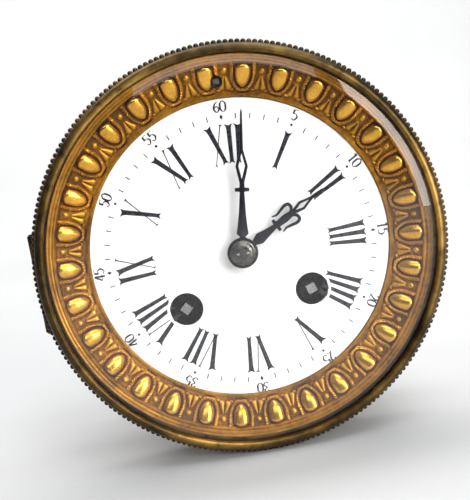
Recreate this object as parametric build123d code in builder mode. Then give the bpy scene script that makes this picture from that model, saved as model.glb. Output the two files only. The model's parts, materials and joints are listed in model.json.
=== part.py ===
from build123d import *
import os
from math import atan2, cos, hypot, pi, radians, sin

# A French round clock head: hinged glazed bezel, egg-and-dart sight ring, enamel dial and
# two-train striking movement. Millimetres. X is right and Z is up as the dial is read, and
# Y runs back along the arbors. The origin is on the centre arbor at the mounting plane,
# which is the rear face of the flange that seats on the case.

# ---------------------------------------------------------------- driving sizes
# Bezel door
BEZEL_RADIUS = 64.0
BEZEL_WALL = 1.8
BEZEL_FRONT = -11.5
BEZEL_BACK = -2.6
BEZEL_LIP_OVERLAP = 1.4
BEAD_RADIUS = 0.85
BEAD_Y = -8.3
GLASS_GAP = 0.3
GLASS_THICK = 2.0
GLASS_EDGE_THICK = 1.2
GLASS_BEVEL_WIDTH = 3.4
RETAINER_THICK = 1.4
RETAINER_WIDTH = 1.0

# Fixed frame ring and hinge
FLANGE_INSET = 1.0
FLANGE_THICK = 2.0
SEAT_WIDTH = 4.5
SPIGOT_WALL = 1.5
SPIGOT_LENGTH = 9.0
HINGE_OFFSET = 0.2
HINGE_Y = -3.0
HINGE_LENGTH = 31.2
HINGE_FIXED_LENGTH = 12.0
KNUCKLE_RADIUS = 1.3
HINGE_PIN_RADIUS = 0.75
HINGE_PIN_OVERHANG = 0.4
HINGE_RELIEF_WIDTH = 11.0
HINGE_RELIEF_DEPTH = 4.8
HINGE_LEAF_DROP = 0.6
HINGE_LEAF_LAP = 0.2
RUNNING_FIT = 0.05
KNUCKLE_GAP = 0.3

# Sight ring
SIGHT_RADIUS = 47.5
SIGHT_CLEARANCE = 1.1
SIGHT_INNER_Y = -2.95
SIGHT_OUTER_Y = -7.6
SIGHT_SHEET = 0.7
SIGHT_SHIFT_X = -0.2
SIGHT_SHIFT_Z = 0.5
REGULATOR_RADIUS = 53.0
REGULATOR_HOLE_RADIUS = 1.7
REGULATOR_SQUARE = 1.8
REGULATOR_SQUARE_LENGTH = 3.0
REGULATOR_COCK_FOOT = 4.0
REGULATOR_COCK_TOP = 3.0
REGULATOR_COCK_THICK = 1.6

# Dial
DIAL_RADIUS = 49.0
DIAL_FRONT = -2.4
DIAL_THICK = 1.4
DIAL_CENTRE_HOLE = 3.4
WINDING_HOLE_RADIUS = 5.5
WINDING_X = 20.4
WINDING_Z = -15.7
DIAL_FOOT_RADIUS = 1.1
DIAL_FOOT_EDGE = 4.0
DIAL_FOOT_ANGLES = (100, 215, 325)

# Hands, angles clockwise from twelve
MINUTE_HAND_ANGLE = 8.0
HOUR_HAND_ANGLE = 60.5
MINUTE_HAND_LENGTH = 44.4
HOUR_HAND_LENGTH = 32.6
MINUTE_HAND_Y = -6.2
HOUR_HAND_Y = -4.7
HAND_THICK = 0.6

# Movement frame
PLATE_RADIUS = 44.0
FRONT_PLATE_Y = 6.0
PLATE_THICK = 1.8
PLATE_SPACING = 22.0
PILLAR_RADIUS = 2.4
PILLAR_SPOTS = ((0, -39), (39, 4), (21, 33), (-31.5, 25.5))
PIVOT_RADIUS = 0.5
SHOULDER_GAP = 0.2
WINDING_REAR_RADIUS = 1.8
TAPER_PIN_RADIUS = 0.4
PILLAR_PIN_GAP = 0.45
PILLAR_PIN_LENGTH = 5.6
FOOT_PIN_LENGTH = 4.4
BRACKET_ANGLES = (-20, 115, 200)
BRACKET_WIDTH = 8.0
BRACKET_THICK = 2.0
BRACKET_SCREW_EDGE = 4.5
SCREW_RADIUS = 1.1
SCREW_SLOT_WIDTH = 0.4
SCREW_HEAD_THICK = 0.9

# Case straps
STRAP_END = 72.0
STRAP_WIDTH = 9.0
STRAP_THICK = 1.5
STRAP_HOLE_X = 50.0
STRAP_HOLE_RADIUS = 2.0
STRAP_FOOT_LENGTH = 11.0
STRAP_SCREW_Y = 6.2
STRAP_SCREW_HEAD = 1.2
STRAP_SCREW_INSET = 0.1
STRAP_START = 0.6

# Tooth shape, as shares of the pitch or the module: addendum, dedendum, half width at root, at tip
WHEEL_TOOTH = (1.05, 1.45, 0.24, 0.09)
LEAF_TOOTH = (0.75, 1.35, 0.15, 0.10)
CROSSINGS = 5

# Going train tooth counts and modules
GREAT_TEETH = 84
GREAT_LEAVES = 12
GREAT_MODULE = 0.46
SECOND_TEETH = 72
CENTRE_LEAVES = 12
SECOND_MODULE = 0.45
CENTRE_TEETH = 84
THIRD_LEAVES = 7
CENTRE_MODULE = 0.40
THIRD_TEETH = 77
ESCAPE_LEAVES = 7
THIRD_MODULE = 0.32
ESCAPE_TEETH = 30
ESCAPE_RADIUS = 7.5
ESCAPE_Z = 26.0
ANCHOR_RISE = 10.6

# Motion work
CANNON_TEETH = 20
MINUTE_TEETH = 60
CANNON_MODULE = 0.30
MINUTE_LEAVES = 12
HOUR_TEETH = 48
HOUR_MODULE = 0.40

# Strike train
PIN_SECOND_TEETH = 72
PIN_LEAVES = 12
PIN_MODULE = 0.28
PIN_TEETH = 60
LOCKING_LEAVES = 8
LOCKING_TEETH = 56
WARNING_LEAVES = 7
LOCKING_MODULE = 0.26
WARNING_TEETH = 50
FLY_LEAVES = 7
WARNING_MODULE = 0.25
COUNT_TEETH = 36
COUNT_LEAVES = 24
COUNT_MODULE = 0.40
COUNT_RADIUS = 14.0

# Barrels
DRUM_INSET = 1.12
DRUM_WALL = 0.8
GREAT_WHEEL_Y = 10.6
GREAT_WHEEL_THICK = 1.8
DRUM_BACK = 26.4
COVER_THICK = 0.8
BARREL_ARBOR_RADIUS = 2.6
BARREL_CORE_RADIUS = 5.0
SQUARE_SIDE = 3.0
SQUARE_FRONT = -1.6
RATCHET_RADIUS = 7.0
RATCHET_TEETH = 20
RATCHET_Y = 4.4
RATCHET_THICK = 1.2

# Suspension regulator
REGULATOR_ARBOR_RADIUS = 1.3
REGULATOR_FRONT = -5.2
REGULATOR_LEAVES = 8
CROWN_TEETH = 16
CROWN_MODULE = 0.6
RATING_SCREW_OFFSET = 11.4
RATING_SCREW_RADIUS = 1.2
CHOPS_Z = 42.5

# Bell and hammer
BELL_RADIUS = 28.0
BELL_Z = -8.0
BELL_MOUTH_OFFSET = 12.4
BELL_DEPTH = 14.0
BELL_WALL = 1.2
BELL_SHOULDER = 0.46
HAMMER_HEAD_RADIUS = 2.8
HAMMER_GAP = 0.8

# ---------------------------------------------------------------- worked out from the above
BACK_PLATE_Y = FRONT_PLATE_Y + PLATE_THICK + PLATE_SPACING
INNER_FRONT = FRONT_PLATE_Y + PLATE_THICK
BACK_FACE = BACK_PLATE_Y + PLATE_THICK
PILLAR_TENON_RADIUS = PILLAR_RADIUS * 0.6
DIAL_FOOT_CIRCLE = PLATE_RADIUS - DIAL_FOOT_EDGE
BRACKET_SCREW_CIRCLE = PLATE_RADIUS - BRACKET_SCREW_EDGE
DRUM_RADIUS = GREAT_TEETH * GREAT_MODULE / 2 - DRUM_INSET
RATING_SCREW_Y = BACK_FACE + RATING_SCREW_OFFSET
BELL_MOUTH_Y = BACK_FACE + BELL_MOUTH_OFFSET
SCREW_HEAD_RADIUS = SCREW_RADIUS * 1.8
BEZEL_BORE = BEZEL_RADIUS - BEZEL_WALL
BEZEL_LIP_RADIUS = BEZEL_BORE - BEZEL_LIP_OVERLAP
FLANGE_RADIUS = BEZEL_RADIUS - FLANGE_INSET
HINGE_X = -(BEZEL_RADIUS + HINGE_OFFSET)
SPIGOT_RADIUS = FLANGE_RADIUS - SEAT_WIDTH
SPIGOT_BORE = SPIGOT_RADIUS - SPIGOT_WALL
SIGHT_OUTER_RADIUS = BEZEL_BORE - RETAINER_WIDTH - SIGHT_CLEARANCE
DIAL_BACK = DIAL_FRONT + DIAL_THICK
GLASS_BACK = BEZEL_FRONT + 1.7 + GLASS_EDGE_THICK
GLASS_RADIUS = BEZEL_BORE - GLASS_GAP
REGULATOR = (0, REGULATOR_RADIUS)
CENTRE = (0, 0)
GOING_BARREL = (WINDING_X, WINDING_Z)
STRIKE_BARREL = (-WINDING_X, WINDING_Z)

os.makedirs("parts", exist_ok=True)


def across(y):
    """The plane square to the arbors at this depth: local x is right, local y is up."""
    return Plane.XZ.offset(-y)


def save(piece, name):
    """Label a finished piece and write it as one STEP file."""
    piece.part.label = name
    export_step(piece.part, f"parts/{name}.step")


def polar(radius, degrees, about=CENTRE):
    """A point at this radius and angle, counter-clockwise from the right."""
    return (about[0] + radius * cos(radians(degrees)), about[1] + radius * sin(radians(degrees)))


def apart(teeth_a, teeth_b, module):
    """Centre distance of two meshed wheels."""
    return (teeth_a + teeth_b) * module / 2


def meeting(spot_a, reach_a, spot_b, reach_b, side):
    """The point at reach_a from spot_a and reach_b from spot_b, left (+1) or right (-1) of a to b."""
    gap = hypot(spot_b[0] - spot_a[0], spot_b[1] - spot_a[1])
    along = (reach_a**2 - reach_b**2 + gap**2) / (2 * gap)
    out = (reach_a**2 - along**2) ** 0.5 * side
    ux, uz = (spot_b[0] - spot_a[0]) / gap, (spot_b[1] - spot_a[1]) / gap
    return (spot_a[0] + along * ux - out * uz, spot_a[1] + along * uz + out * ux)


def mesh_phase(spot_a, teeth_a, phase_a, spot_b, teeth_b):
    """The angle of a tooth of b, in radians, that puts it in a gap of a."""
    line = atan2(spot_b[1] - spot_a[1], spot_b[0] - spot_a[0])
    share = ((line - phase_a) / (2 * pi / teeth_a)) % 1
    return line + pi + (share - 0.5) * 2 * pi / teeth_b


def rim_points(teeth, module, spot, phase, shape):
    """Corners of a toothed rim, four to a tooth."""
    addendum, dedendum, half_root, half_tip = shape
    pitch_radius = teeth * module / 2
    root = pitch_radius - dedendum * module
    tip = pitch_radius + addendum * module
    pitch = pi * module
    corners = ((root, -half_root), (tip, -half_tip), (tip, half_tip), (root, half_root))
    points = []
    for tooth in range(teeth):
        middle = phase + 2 * pi * tooth / teeth
        for radius, share in corners:
            angle = middle + share * pitch / radius
            points.append((spot[0] + radius * cos(angle), spot[1] + radius * sin(angle)))
    return points


def stepped(spot, steps):
    """A turned shaft: each step is its front y, rear y and radius."""
    with BuildPart() as shaft:
        for front, rear, radius in steps:
            with BuildSketch(across(rear)):
                with Locations(spot):
                    Circle(radius)
            extrude(amount=rear - front)
    return shaft.part


def toothed(spot, teeth, module, phase, front, rear, shape=WHEEL_TOOTH):
    """A toothed disc between two depths."""
    with BuildPart() as disc:
        with BuildSketch(across(rear)):
            with BuildLine():
                Polyline(*rim_points(teeth, module, spot, phase, shape), close=True)
            make_face()
        extrude(amount=rear - front)
    return disc.part


def windows(spot, hub, rim, spoke, front, rear):
    """The openings between the arms of a crossed-out wheel."""
    with BuildPart() as cut:
        with BuildSketch(across(rear)):
            with Locations(spot):
                Circle(rim)
                Circle(hub, mode=Mode.SUBTRACT)
                with PolarLocations(rim / 2, CROSSINGS):
                    Rectangle(rim * 1.1, spoke, mode=Mode.SUBTRACT)
        extrude(amount=rear - front)
    return cut.part


def save_wheel(name, spot, teeth, module, phase, front, rear, bore, spoke=1.3, hub=3.0):
    """A crossed-out brass wheel on its arbor."""
    rim = teeth * module / 2 - WHEEL_TOOTH[1] * module - 1.2
    with BuildPart() as wheel:
        add(toothed(spot, teeth, module, phase, front, rear))
        add(windows(spot, hub, rim, spoke, front - 1, rear + 1), mode=Mode.SUBTRACT)
        with BuildSketch(across(rear + 1)):
            with Locations(spot):
                Circle(bore)
        extrude(amount=rear - front + 2, mode=Mode.SUBTRACT)
    save(wheel, name)


def save_pinion(name, spot, leaves, module, phase, front, rear, radius, ends=None):
    """A steel arbor with pivots in both plates and one pinion cut on it."""
    shoulder = 0.2
    first, last = ends or (INNER_FRONT + shoulder, BACK_PLATE_Y - shoulder)
    with BuildPart() as arbor:
        add(stepped(spot, ((FRONT_PLATE_Y, BACK_FACE, PIVOT_RADIUS), (first, last, radius))))
        add(toothed(spot, leaves, module, phase, front, rear, LEAF_TOOTH))
    save(arbor, name)


# ---------------------------------------------------------------- arbor places and tooth phases
SECOND = meeting(
    CENTRE,
    apart(SECOND_TEETH, CENTRE_LEAVES, SECOND_MODULE),
    GOING_BARREL,
    apart(GREAT_TEETH, GREAT_LEAVES, GREAT_MODULE),
    1,
)
ESCAPE = (0, ESCAPE_Z)
THIRD = meeting(
    CENTRE,
    apart(CENTRE_TEETH, THIRD_LEAVES, CENTRE_MODULE),
    ESCAPE,
    apart(THIRD_TEETH, ESCAPE_LEAVES, THIRD_MODULE),
    1,
)
ANCHOR = (0, ESCAPE_Z + ANCHOR_RISE)
MINUTE_STUD = (0, apart(MINUTE_TEETH, CANNON_TEETH, CANNON_MODULE))
STRIKE_SECOND = polar(apart(GREAT_TEETH, GREAT_LEAVES, GREAT_MODULE), 120, STRIKE_BARREL)
PIN = polar(apart(PIN_SECOND_TEETH, PIN_LEAVES, PIN_MODULE), 50, STRIKE_SECOND)
LOCKING = polar(apart(PIN_TEETH, LOCKING_LEAVES, PIN_MODULE), 75, PIN)
WARNING = polar(apart(LOCKING_TEETH, WARNING_LEAVES, LOCKING_MODULE), 60, LOCKING)
FLY = polar(apart(WARNING_TEETH, FLY_LEAVES, WARNING_MODULE), 45, WARNING)
COUNT = polar(apart(COUNT_TEETH, COUNT_LEAVES, COUNT_MODULE), -30, STRIKE_SECOND)
HAMMER = (-33.5, 17.5)
LEVER = (-25.0, 33.5)

ARBOR_RADIUS = 1.1
FINE_ARBOR_RADIUS = 0.9
SLIM_ARBOR_RADIUS = 0.58
LEVER_ARBOR_RADIUS = 0.9
HAMMER_ARBOR_RADIUS = 1.0
CENTRE_ARBOR_RADIUS = 1.2
WHEEL_THICK = 1.0
CENTRE_WHEEL_Y = 8.4
SECOND_WHEEL_Y = 27.8
THIRD_WHEEL_Y = 18.0
ESCAPE_WHEEL_Y = 22.0
PIN_WHEEL_Y = 13.0
LOCKING_WHEEL_Y = 20.0
WARNING_WHEEL_Y = 24.0
LEAF_OVERLAP = 0.7


# ---------------------------------------------------------------- case front: frame, hinge, door
with BuildPart() as frame_ring:
    with BuildSketch(across(0)):
        Circle(FLANGE_RADIUS)
        Circle(SPIGOT_BORE, mode=Mode.SUBTRACT)
    extrude(amount=FLANGE_THICK)
    with BuildSketch(across(SPIGOT_LENGTH)):
        Circle(SPIGOT_RADIUS)
        Circle(SPIGOT_BORE, mode=Mode.SUBTRACT)
    extrude(amount=SPIGOT_LENGTH)
    # flat seat for the fixed hinge knuckle
    with BuildSketch(across(0)):
        with Locations((-FLANGE_RADIUS, 0)):
            Rectangle(3.0, HINGE_FIXED_LENGTH)
    extrude(amount=FLANGE_THICK, mode=Mode.SUBTRACT)
    # holes for the strap screws
    for side in (-1, 1):
        with BuildSketch(Plane.YZ.offset(side * SPIGOT_BORE - 3)):
            with Locations((STRAP_SCREW_Y, 0)):
                Circle(SCREW_RADIUS)
        extrude(amount=6, mode=Mode.SUBTRACT)
save(frame_ring, "frame_ring")

with BuildPart() as hinge_knuckle:
    with BuildSketch(Plane.XY.offset(-HINGE_FIXED_LENGTH / 2)):
        with Locations((HINGE_X, HINGE_Y)):
            Circle(KNUCKLE_RADIUS)
        with BuildLine():
            Polyline(
                (HINGE_X - 0.5, HINGE_Y),
                (HINGE_X - 0.5, -0.3),
                (-FLANGE_RADIUS + 1.5, -0.3),
                (-FLANGE_RADIUS + 1.5, -FLANGE_THICK),
                (HINGE_X + KNUCKLE_RADIUS, -FLANGE_THICK),
                (HINGE_X + KNUCKLE_RADIUS - 0.4, HINGE_Y),
                close=True,
            )
        make_face()
        with Locations((HINGE_X, HINGE_Y)):
            Circle(HINGE_PIN_RADIUS, mode=Mode.SUBTRACT)
    extrude(amount=HINGE_FIXED_LENGTH)
save(hinge_knuckle, "hinge_knuckle")

with BuildPart() as hinge_pin:
    with BuildSketch(Plane.XY.offset(-HINGE_LENGTH / 2 - HINGE_PIN_OVERHANG)):
        with Locations((HINGE_X, HINGE_Y)):
            Circle(HINGE_PIN_RADIUS)
    extrude(amount=HINGE_LENGTH + 2 * HINGE_PIN_OVERHANG)
save(hinge_pin, "hinge_pin")

with BuildPart() as bezel:
    with BuildSketch(Plane.XY):
        with BuildLine():
            Polyline(
                (BEZEL_BORE, BEZEL_BACK),
                (BEZEL_RADIUS, BEZEL_BACK),
                (BEZEL_RADIUS, BEAD_Y),
            )
            ThreePointArc(
                (BEZEL_RADIUS, BEAD_Y),
                (BEZEL_RADIUS - 0.9, BEZEL_FRONT + 0.9),
                (BEZEL_RADIUS - 2.4, BEZEL_FRONT),
            )
            Polyline(
                (BEZEL_RADIUS - 2.4, BEZEL_FRONT),
                (BEZEL_LIP_RADIUS, BEZEL_FRONT + 0.5),
                (BEZEL_LIP_RADIUS, GLASS_BACK - GLASS_EDGE_THICK),
                (BEZEL_BORE, GLASS_BACK - GLASS_EDGE_THICK),
                (BEZEL_BORE, BEZEL_BACK),
            )
        make_face()
        with Locations((BEZEL_RADIUS, BEAD_Y)):
            Circle(BEAD_RADIUS)
    revolve(axis=Axis.Y)
    # relief for the fixed knuckle, then the two moving knuckles
    with BuildSketch(Plane.XY.offset(-HINGE_FIXED_LENGTH / 2 - KNUCKLE_GAP)):
        with Locations((HINGE_X, HINGE_Y)):
            Rectangle(HINGE_RELIEF_WIDTH, HINGE_RELIEF_DEPTH)
    extrude(amount=HINGE_FIXED_LENGTH + 2 * KNUCKLE_GAP, mode=Mode.SUBTRACT)
    door_knuckle = (HINGE_LENGTH - HINGE_FIXED_LENGTH) / 2 - KNUCKLE_GAP
    for start in (-HINGE_LENGTH / 2, HINGE_FIXED_LENGTH / 2 + KNUCKLE_GAP):
        with BuildSketch(Plane.XY.offset(start)):
            with Locations((HINGE_X, HINGE_Y)):
                Circle(KNUCKLE_RADIUS)
            with BuildLine():
                Polyline(
                    (HINGE_X, HINGE_Y - KNUCKLE_RADIUS),
                    (HINGE_X, HINGE_Y),
                    (-BEZEL_BORE + HINGE_LEAF_LAP, HINGE_Y),
                    (-BEZEL_BORE + HINGE_LEAF_LAP, HINGE_Y - KNUCKLE_RADIUS - HINGE_LEAF_DROP),
                    close=True,
                )
            make_face()
        extrude(amount=door_knuckle)
    with BuildSketch(Plane.XY.offset(-HINGE_LENGTH / 2 - 1)):
        with Locations((HINGE_X, HINGE_Y)):
            Circle(HINGE_PIN_RADIUS + RUNNING_FIT)
    extrude(amount=HINGE_LENGTH + 2, mode=Mode.SUBTRACT)
    # nothing may stand inside the bore
    with BuildSketch(across(BEZEL_BACK + 1)):
        Circle(BEZEL_BORE)
    extrude(amount=BEZEL_BACK + 1 - GLASS_BACK + GLASS_EDGE_THICK, mode=Mode.SUBTRACT)
save(bezel, "bezel")

with BuildPart() as glass:
    with BuildSketch(Plane.XY):
        with BuildLine():
            Polyline(
                (0, GLASS_BACK),
                (GLASS_RADIUS, GLASS_BACK),
                (GLASS_RADIUS, GLASS_BACK - GLASS_EDGE_THICK),
                (BEZEL_LIP_RADIUS, GLASS_BACK - GLASS_EDGE_THICK),
                (BEZEL_LIP_RADIUS - GLASS_BEVEL_WIDTH, GLASS_BACK - GLASS_THICK),
                (0, GLASS_BACK - GLASS_THICK),
                close=True,
            )
        make_face()
    revolve(axis=Axis.Y)
save(glass, "glass")

with BuildPart() as glass_retainer:
    with BuildSketch(across(GLASS_BACK + RETAINER_THICK)):
        Circle(BEZEL_BORE)
        Circle(BEZEL_BORE - RETAINER_WIDTH, mode=Mode.SUBTRACT)
        with Locations((0, -BEZEL_BORE)):
            Rectangle(1.5, 4, mode=Mode.SUBTRACT)
    extrude(amount=RETAINER_THICK)
save(glass_retainer, "glass_retainer")

with BuildPart() as sight_ring:
    seat = Plane((SIGHT_SHIFT_X, 0, SIGHT_SHIFT_Z), x_dir=(1, 0, 0), z_dir=(0, 0, 1))
    with BuildSketch(seat):
        with BuildLine():
            Polyline(
                (SIGHT_RADIUS, SIGHT_INNER_Y),
                (SIGHT_RADIUS + 1.2, SIGHT_INNER_Y),
                (SIGHT_OUTER_RADIUS - 1.5, SIGHT_OUTER_Y),
                (SIGHT_OUTER_RADIUS, SIGHT_OUTER_Y),
                (SIGHT_OUTER_RADIUS, -FLANGE_THICK),
                (SIGHT_OUTER_RADIUS - SIGHT_SHEET, -FLANGE_THICK),
                (SIGHT_OUTER_RADIUS - SIGHT_SHEET, SIGHT_OUTER_Y + SIGHT_SHEET),
                (SIGHT_OUTER_RADIUS - 1.2, SIGHT_OUTER_Y + SIGHT_SHEET),
                (SIGHT_RADIUS + 1.7, SIGHT_INNER_Y + 0.45),
                (SIGHT_RADIUS, SIGHT_INNER_Y + 0.45),
                close=True,
            )
        make_face()
    revolve(axis=Axis((SIGHT_SHIFT_X, 0, SIGHT_SHIFT_Z), (0, 1, 0)))
    with BuildSketch(across(0)):
        with Locations(REGULATOR):
            Circle(REGULATOR_HOLE_RADIUS)
    extrude(amount=10, mode=Mode.SUBTRACT)
save(sight_ring, "sight_ring")


# ---------------------------------------------------------------- dial
dial_feet = [polar(DIAL_FOOT_CIRCLE, angle) for angle in DIAL_FOOT_ANGLES]
FOOT_END = INNER_FRONT + 1.6
PIN_Y = INNER_FRONT + 0.45

with BuildPart() as dial:
    with BuildSketch(across(DIAL_BACK)):
        Circle(DIAL_RADIUS)
        Circle(DIAL_CENTRE_HOLE, mode=Mode.SUBTRACT)
        with Locations(GOING_BARREL, STRIKE_BARREL):
            Circle(WINDING_HOLE_RADIUS, mode=Mode.SUBTRACT)
    extrude(amount=DIAL_THICK)
    fillet(dial.faces().sort_by(Axis.Y)[0].outer_wire().edges(), 0.6)
save(dial, "dial")

with BuildPart() as dial_feet_group:
    for spot in dial_feet:
        with BuildSketch(across(FOOT_END)):
            with Locations(spot):
                Circle(DIAL_FOOT_RADIUS)
        extrude(amount=FOOT_END - DIAL_BACK)
        with BuildSketch(Plane.YZ.offset(spot[0] - 3)):
            with Locations((PIN_Y, spot[1])):
                Circle(TAPER_PIN_RADIUS)
        extrude(amount=6, mode=Mode.SUBTRACT)
save(dial_feet_group, "dial_feet")


# ---------------------------------------------------------------- hands
def placed_hand(points, clockwise):
    """Hand outline points, drawn pointing at twelve, turned clockwise and returned as pairs."""
    turn = radians(-clockwise)
    return [(x * cos(turn) - z * sin(turn), x * sin(turn) + z * cos(turn)) for x, z in points]


def save_hand(name, half_outline, clockwise, front, boss, bore):
    """A flat hand: its right-hand outline mirrored, a round boss, and a bore."""
    mirrored = [(-x, z) for x, z in reversed(half_outline)]
    with BuildPart() as hand:
        with BuildSketch(across(front + HAND_THICK)):
            with BuildLine():
                Polyline(*placed_hand(half_outline + mirrored, clockwise), close=True)
            make_face()
            Circle(boss)
            Circle(bore, mode=Mode.SUBTRACT)
        extrude(amount=HAND_THICK)
    save(hand, name)


CANNON_PIPE_RADIUS = 1.9
HOUR_PIPE_RADIUS = 2.8
HAND_GAP = 0.06

minute_outline = [
    (1.6, 4.0),
    (1.9, 7.0),
    (0.7, 19.0),
    (2.2, 19.4),
    (2.2, 20.4),
    (0.8, 20.8),
    (1.9, 26.5),
    (0.3, 31.5),
    (0.25, MINUTE_HAND_LENGTH),
]
save_hand("minute_hand", minute_outline, MINUTE_HAND_ANGLE, MINUTE_HAND_Y, 4.9, CENTRE_ARBOR_RADIUS)
hour_outline = [
    (1.4, 4.2),
    (2.2, 6.6),
    (1.0, 10.0),
    (2.2, 10.6),
    (2.2, 11.4),
    (1.2, 12.2),
    (3.4, 15.5),
    (3.0, 18.5),
    (1.0, 19.5),
    (2.0, 23.5),
    (0.5, 27.5),
    (0.45, HOUR_HAND_LENGTH),
]
save_hand("hour_hand", hour_outline, HOUR_HAND_ANGLE, HOUR_HAND_Y, 4.6, HOUR_PIPE_RADIUS)

COLLET_RADIUS = 3.9
COLLET_HEIGHT = 1.3
with BuildPart() as hand_collet:
    with BuildSketch(Plane.XY):
        with BuildLine():
            Polyline(
                (CENTRE_ARBOR_RADIUS, MINUTE_HAND_Y - COLLET_HEIGHT),
                (CENTRE_ARBOR_RADIUS, MINUTE_HAND_Y),
                (COLLET_RADIUS, MINUTE_HAND_Y),
            )
            ThreePointArc(
                (COLLET_RADIUS, MINUTE_HAND_Y),
                (COLLET_RADIUS * 0.78, MINUTE_HAND_Y - COLLET_HEIGHT * 0.72),
                (CENTRE_ARBOR_RADIUS, MINUTE_HAND_Y - COLLET_HEIGHT),
            )
        make_face()
    revolve(axis=Axis.Y)
save(hand_collet, "hand_collet")

HAND_PIN_RADIUS = 0.3
HAND_PIN_Y = MINUTE_HAND_Y - COLLET_HEIGHT - HAND_PIN_RADIUS
with BuildPart() as hand_pin:
    with BuildSketch(Plane.YZ.offset(-1.9)):
        with Locations((HAND_PIN_Y, 0)):
            Circle(HAND_PIN_RADIUS)
    extrude(amount=3.8)
save(hand_pin, "hand_pin")


# ---------------------------------------------------------------- going train
great_phase = 0.0
second_leaf_phase = mesh_phase(GOING_BARREL, GREAT_TEETH, great_phase, SECOND, GREAT_LEAVES)
second_phase = 0.0
centre_leaf_phase = mesh_phase(SECOND, SECOND_TEETH, second_phase, CENTRE, CENTRE_LEAVES)
centre_phase = 0.0
third_leaf_phase = mesh_phase(CENTRE, CENTRE_TEETH, centre_phase, THIRD, THIRD_LEAVES)
third_phase = 0.0
escape_leaf_phase = mesh_phase(THIRD, THIRD_TEETH, third_phase, ESCAPE, ESCAPE_LEAVES)


def leaf_span(wheel_y, thick=WHEEL_THICK):
    """Front and rear of a pinion that meshes with a wheel at this depth."""
    return wheel_y - LEAF_OVERLAP, wheel_y + thick + LEAF_OVERLAP


def barrel_drum(spot):
    """A spring barrel: great wheel, drum and front wall in one, open at the back."""
    with BuildPart() as barrel:
        wheel_back = GREAT_WHEEL_Y + GREAT_WHEEL_THICK
        add(toothed(spot, GREAT_TEETH, GREAT_MODULE, great_phase, GREAT_WHEEL_Y, wheel_back))
        with BuildSketch(across(DRUM_BACK)):
            with Locations(spot):
                Circle(DRUM_RADIUS)
                Circle(DRUM_RADIUS - DRUM_WALL, mode=Mode.SUBTRACT)
        extrude(amount=DRUM_BACK - wheel_back)
        with BuildSketch(across(wheel_back)):
            with Locations(spot):
                Circle(BARREL_ARBOR_RADIUS + RUNNING_FIT)
        extrude(amount=GREAT_WHEEL_THICK, mode=Mode.SUBTRACT)
    return barrel.part


def barrel_cover(spot):
    """The snapped-in rear lid of a barrel."""
    with BuildPart() as cover:
        with BuildSketch(across(DRUM_BACK + COVER_THICK)):
            with Locations(spot):
                Circle(DRUM_RADIUS - 0.2)
                Circle(BARREL_ARBOR_RADIUS + RUNNING_FIT, mode=Mode.SUBTRACT)
        extrude(amount=COVER_THICK)
    return cover.part


def save_mainspring(name, spot):
    """The coiled spring, as its wound ring between core and drum."""
    coils = 5
    steps = 24
    thick = 0.5
    start, end = BARREL_CORE_RADIUS + 3.0, DRUM_RADIUS - DRUM_WALL - 0.3
    growth = (end - thick - start) / (coils * steps)
    inner = [polar(start + growth * i, i * 360 / steps, spot) for i in range(coils * steps + 1)]
    outer = [polar(start + growth * i + thick, i * 360 / steps, spot) for i in range(coils * steps + 1)]
    with BuildPart() as spring:
        with BuildSketch(across(DRUM_BACK - 0.8)):
            with BuildLine():
                Polyline(*inner, *reversed(outer), close=True)
            make_face()
        extrude(amount=DRUM_BACK - GREAT_WHEEL_Y - GREAT_WHEEL_THICK - 1.6)
    save(spring, name)


def winding_arbor(spot):
    """A barrel arbor: winding square, ratchet seat, front journal, core and rear pivot."""
    wheel_back = GREAT_WHEEL_Y + GREAT_WHEEL_THICK
    steps = (
        (RATCHET_Y, BACK_PLATE_Y, BARREL_ARBOR_RADIUS),
        (wheel_back + 0.2, DRUM_BACK - 0.2, BARREL_CORE_RADIUS),
        (BACK_PLATE_Y, BACK_FACE, WINDING_REAR_RADIUS),
    )
    with BuildPart() as arbor:
        add(stepped(spot, steps))
        with BuildSketch(across(RATCHET_Y)):
            with Locations(spot):
                Rectangle(SQUARE_SIDE, SQUARE_SIDE, rotation=20 if spot[0] > 0 else 45)
        extrude(amount=RATCHET_Y - SQUARE_FRONT)
    return arbor.part


def ratchet(spot):
    """A saw-toothed ratchet wheel on the winding arbor."""
    points = []
    for tooth in range(RATCHET_TEETH):
        degrees = 360 * tooth / RATCHET_TEETH
        points.append(polar(RATCHET_RADIUS, degrees, spot))
        points.append(polar(RATCHET_RADIUS - 1.0, degrees + 1.5, spot))
    with BuildPart() as wheel:
        with BuildSketch(across(RATCHET_Y + RATCHET_THICK)):
            with BuildLine():
                Polyline(*points, close=True)
            make_face()
            with Locations(spot):
                Circle(BARREL_ARBOR_RADIUS, mode=Mode.SUBTRACT)
        extrude(amount=RATCHET_THICK)
    return wheel.part


with BuildPart() as going_barrel:
    add(barrel_drum(GOING_BARREL))
save(going_barrel, "going_barrel")
with BuildPart() as going_barrel_cover:
    add(barrel_cover(GOING_BARREL))
save(going_barrel_cover, "going_barrel_cover")
save_mainspring("going_mainspring", GOING_BARREL)
with BuildPart() as strike_barrel:
    add(barrel_drum(STRIKE_BARREL))
    add(barrel_cover(STRIKE_BARREL))
save(strike_barrel, "strike_barrel")

with BuildPart() as going_winding_arbor:
    add(winding_arbor(GOING_BARREL))
save(going_winding_arbor, "going_winding_arbor")
with BuildPart() as going_ratchet:
    add(ratchet(GOING_BARREL))
save(going_ratchet, "going_ratchet")
with BuildPart() as strike_winding_arbor:
    add(winding_arbor(STRIKE_BARREL))
    add(ratchet(STRIKE_BARREL))
save(strike_winding_arbor, "strike_winding_arbor")

CLICK_PIVOT_GAP = 4.2
CLICK_STUD_RADIUS = 1.0


def click_pivot(spot):
    """Where a click pivots, beside the lower outer edge of its ratchet."""
    return polar(RATCHET_RADIUS + CLICK_PIVOT_GAP, -60 if spot[0] > 0 else -120, spot)


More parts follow.
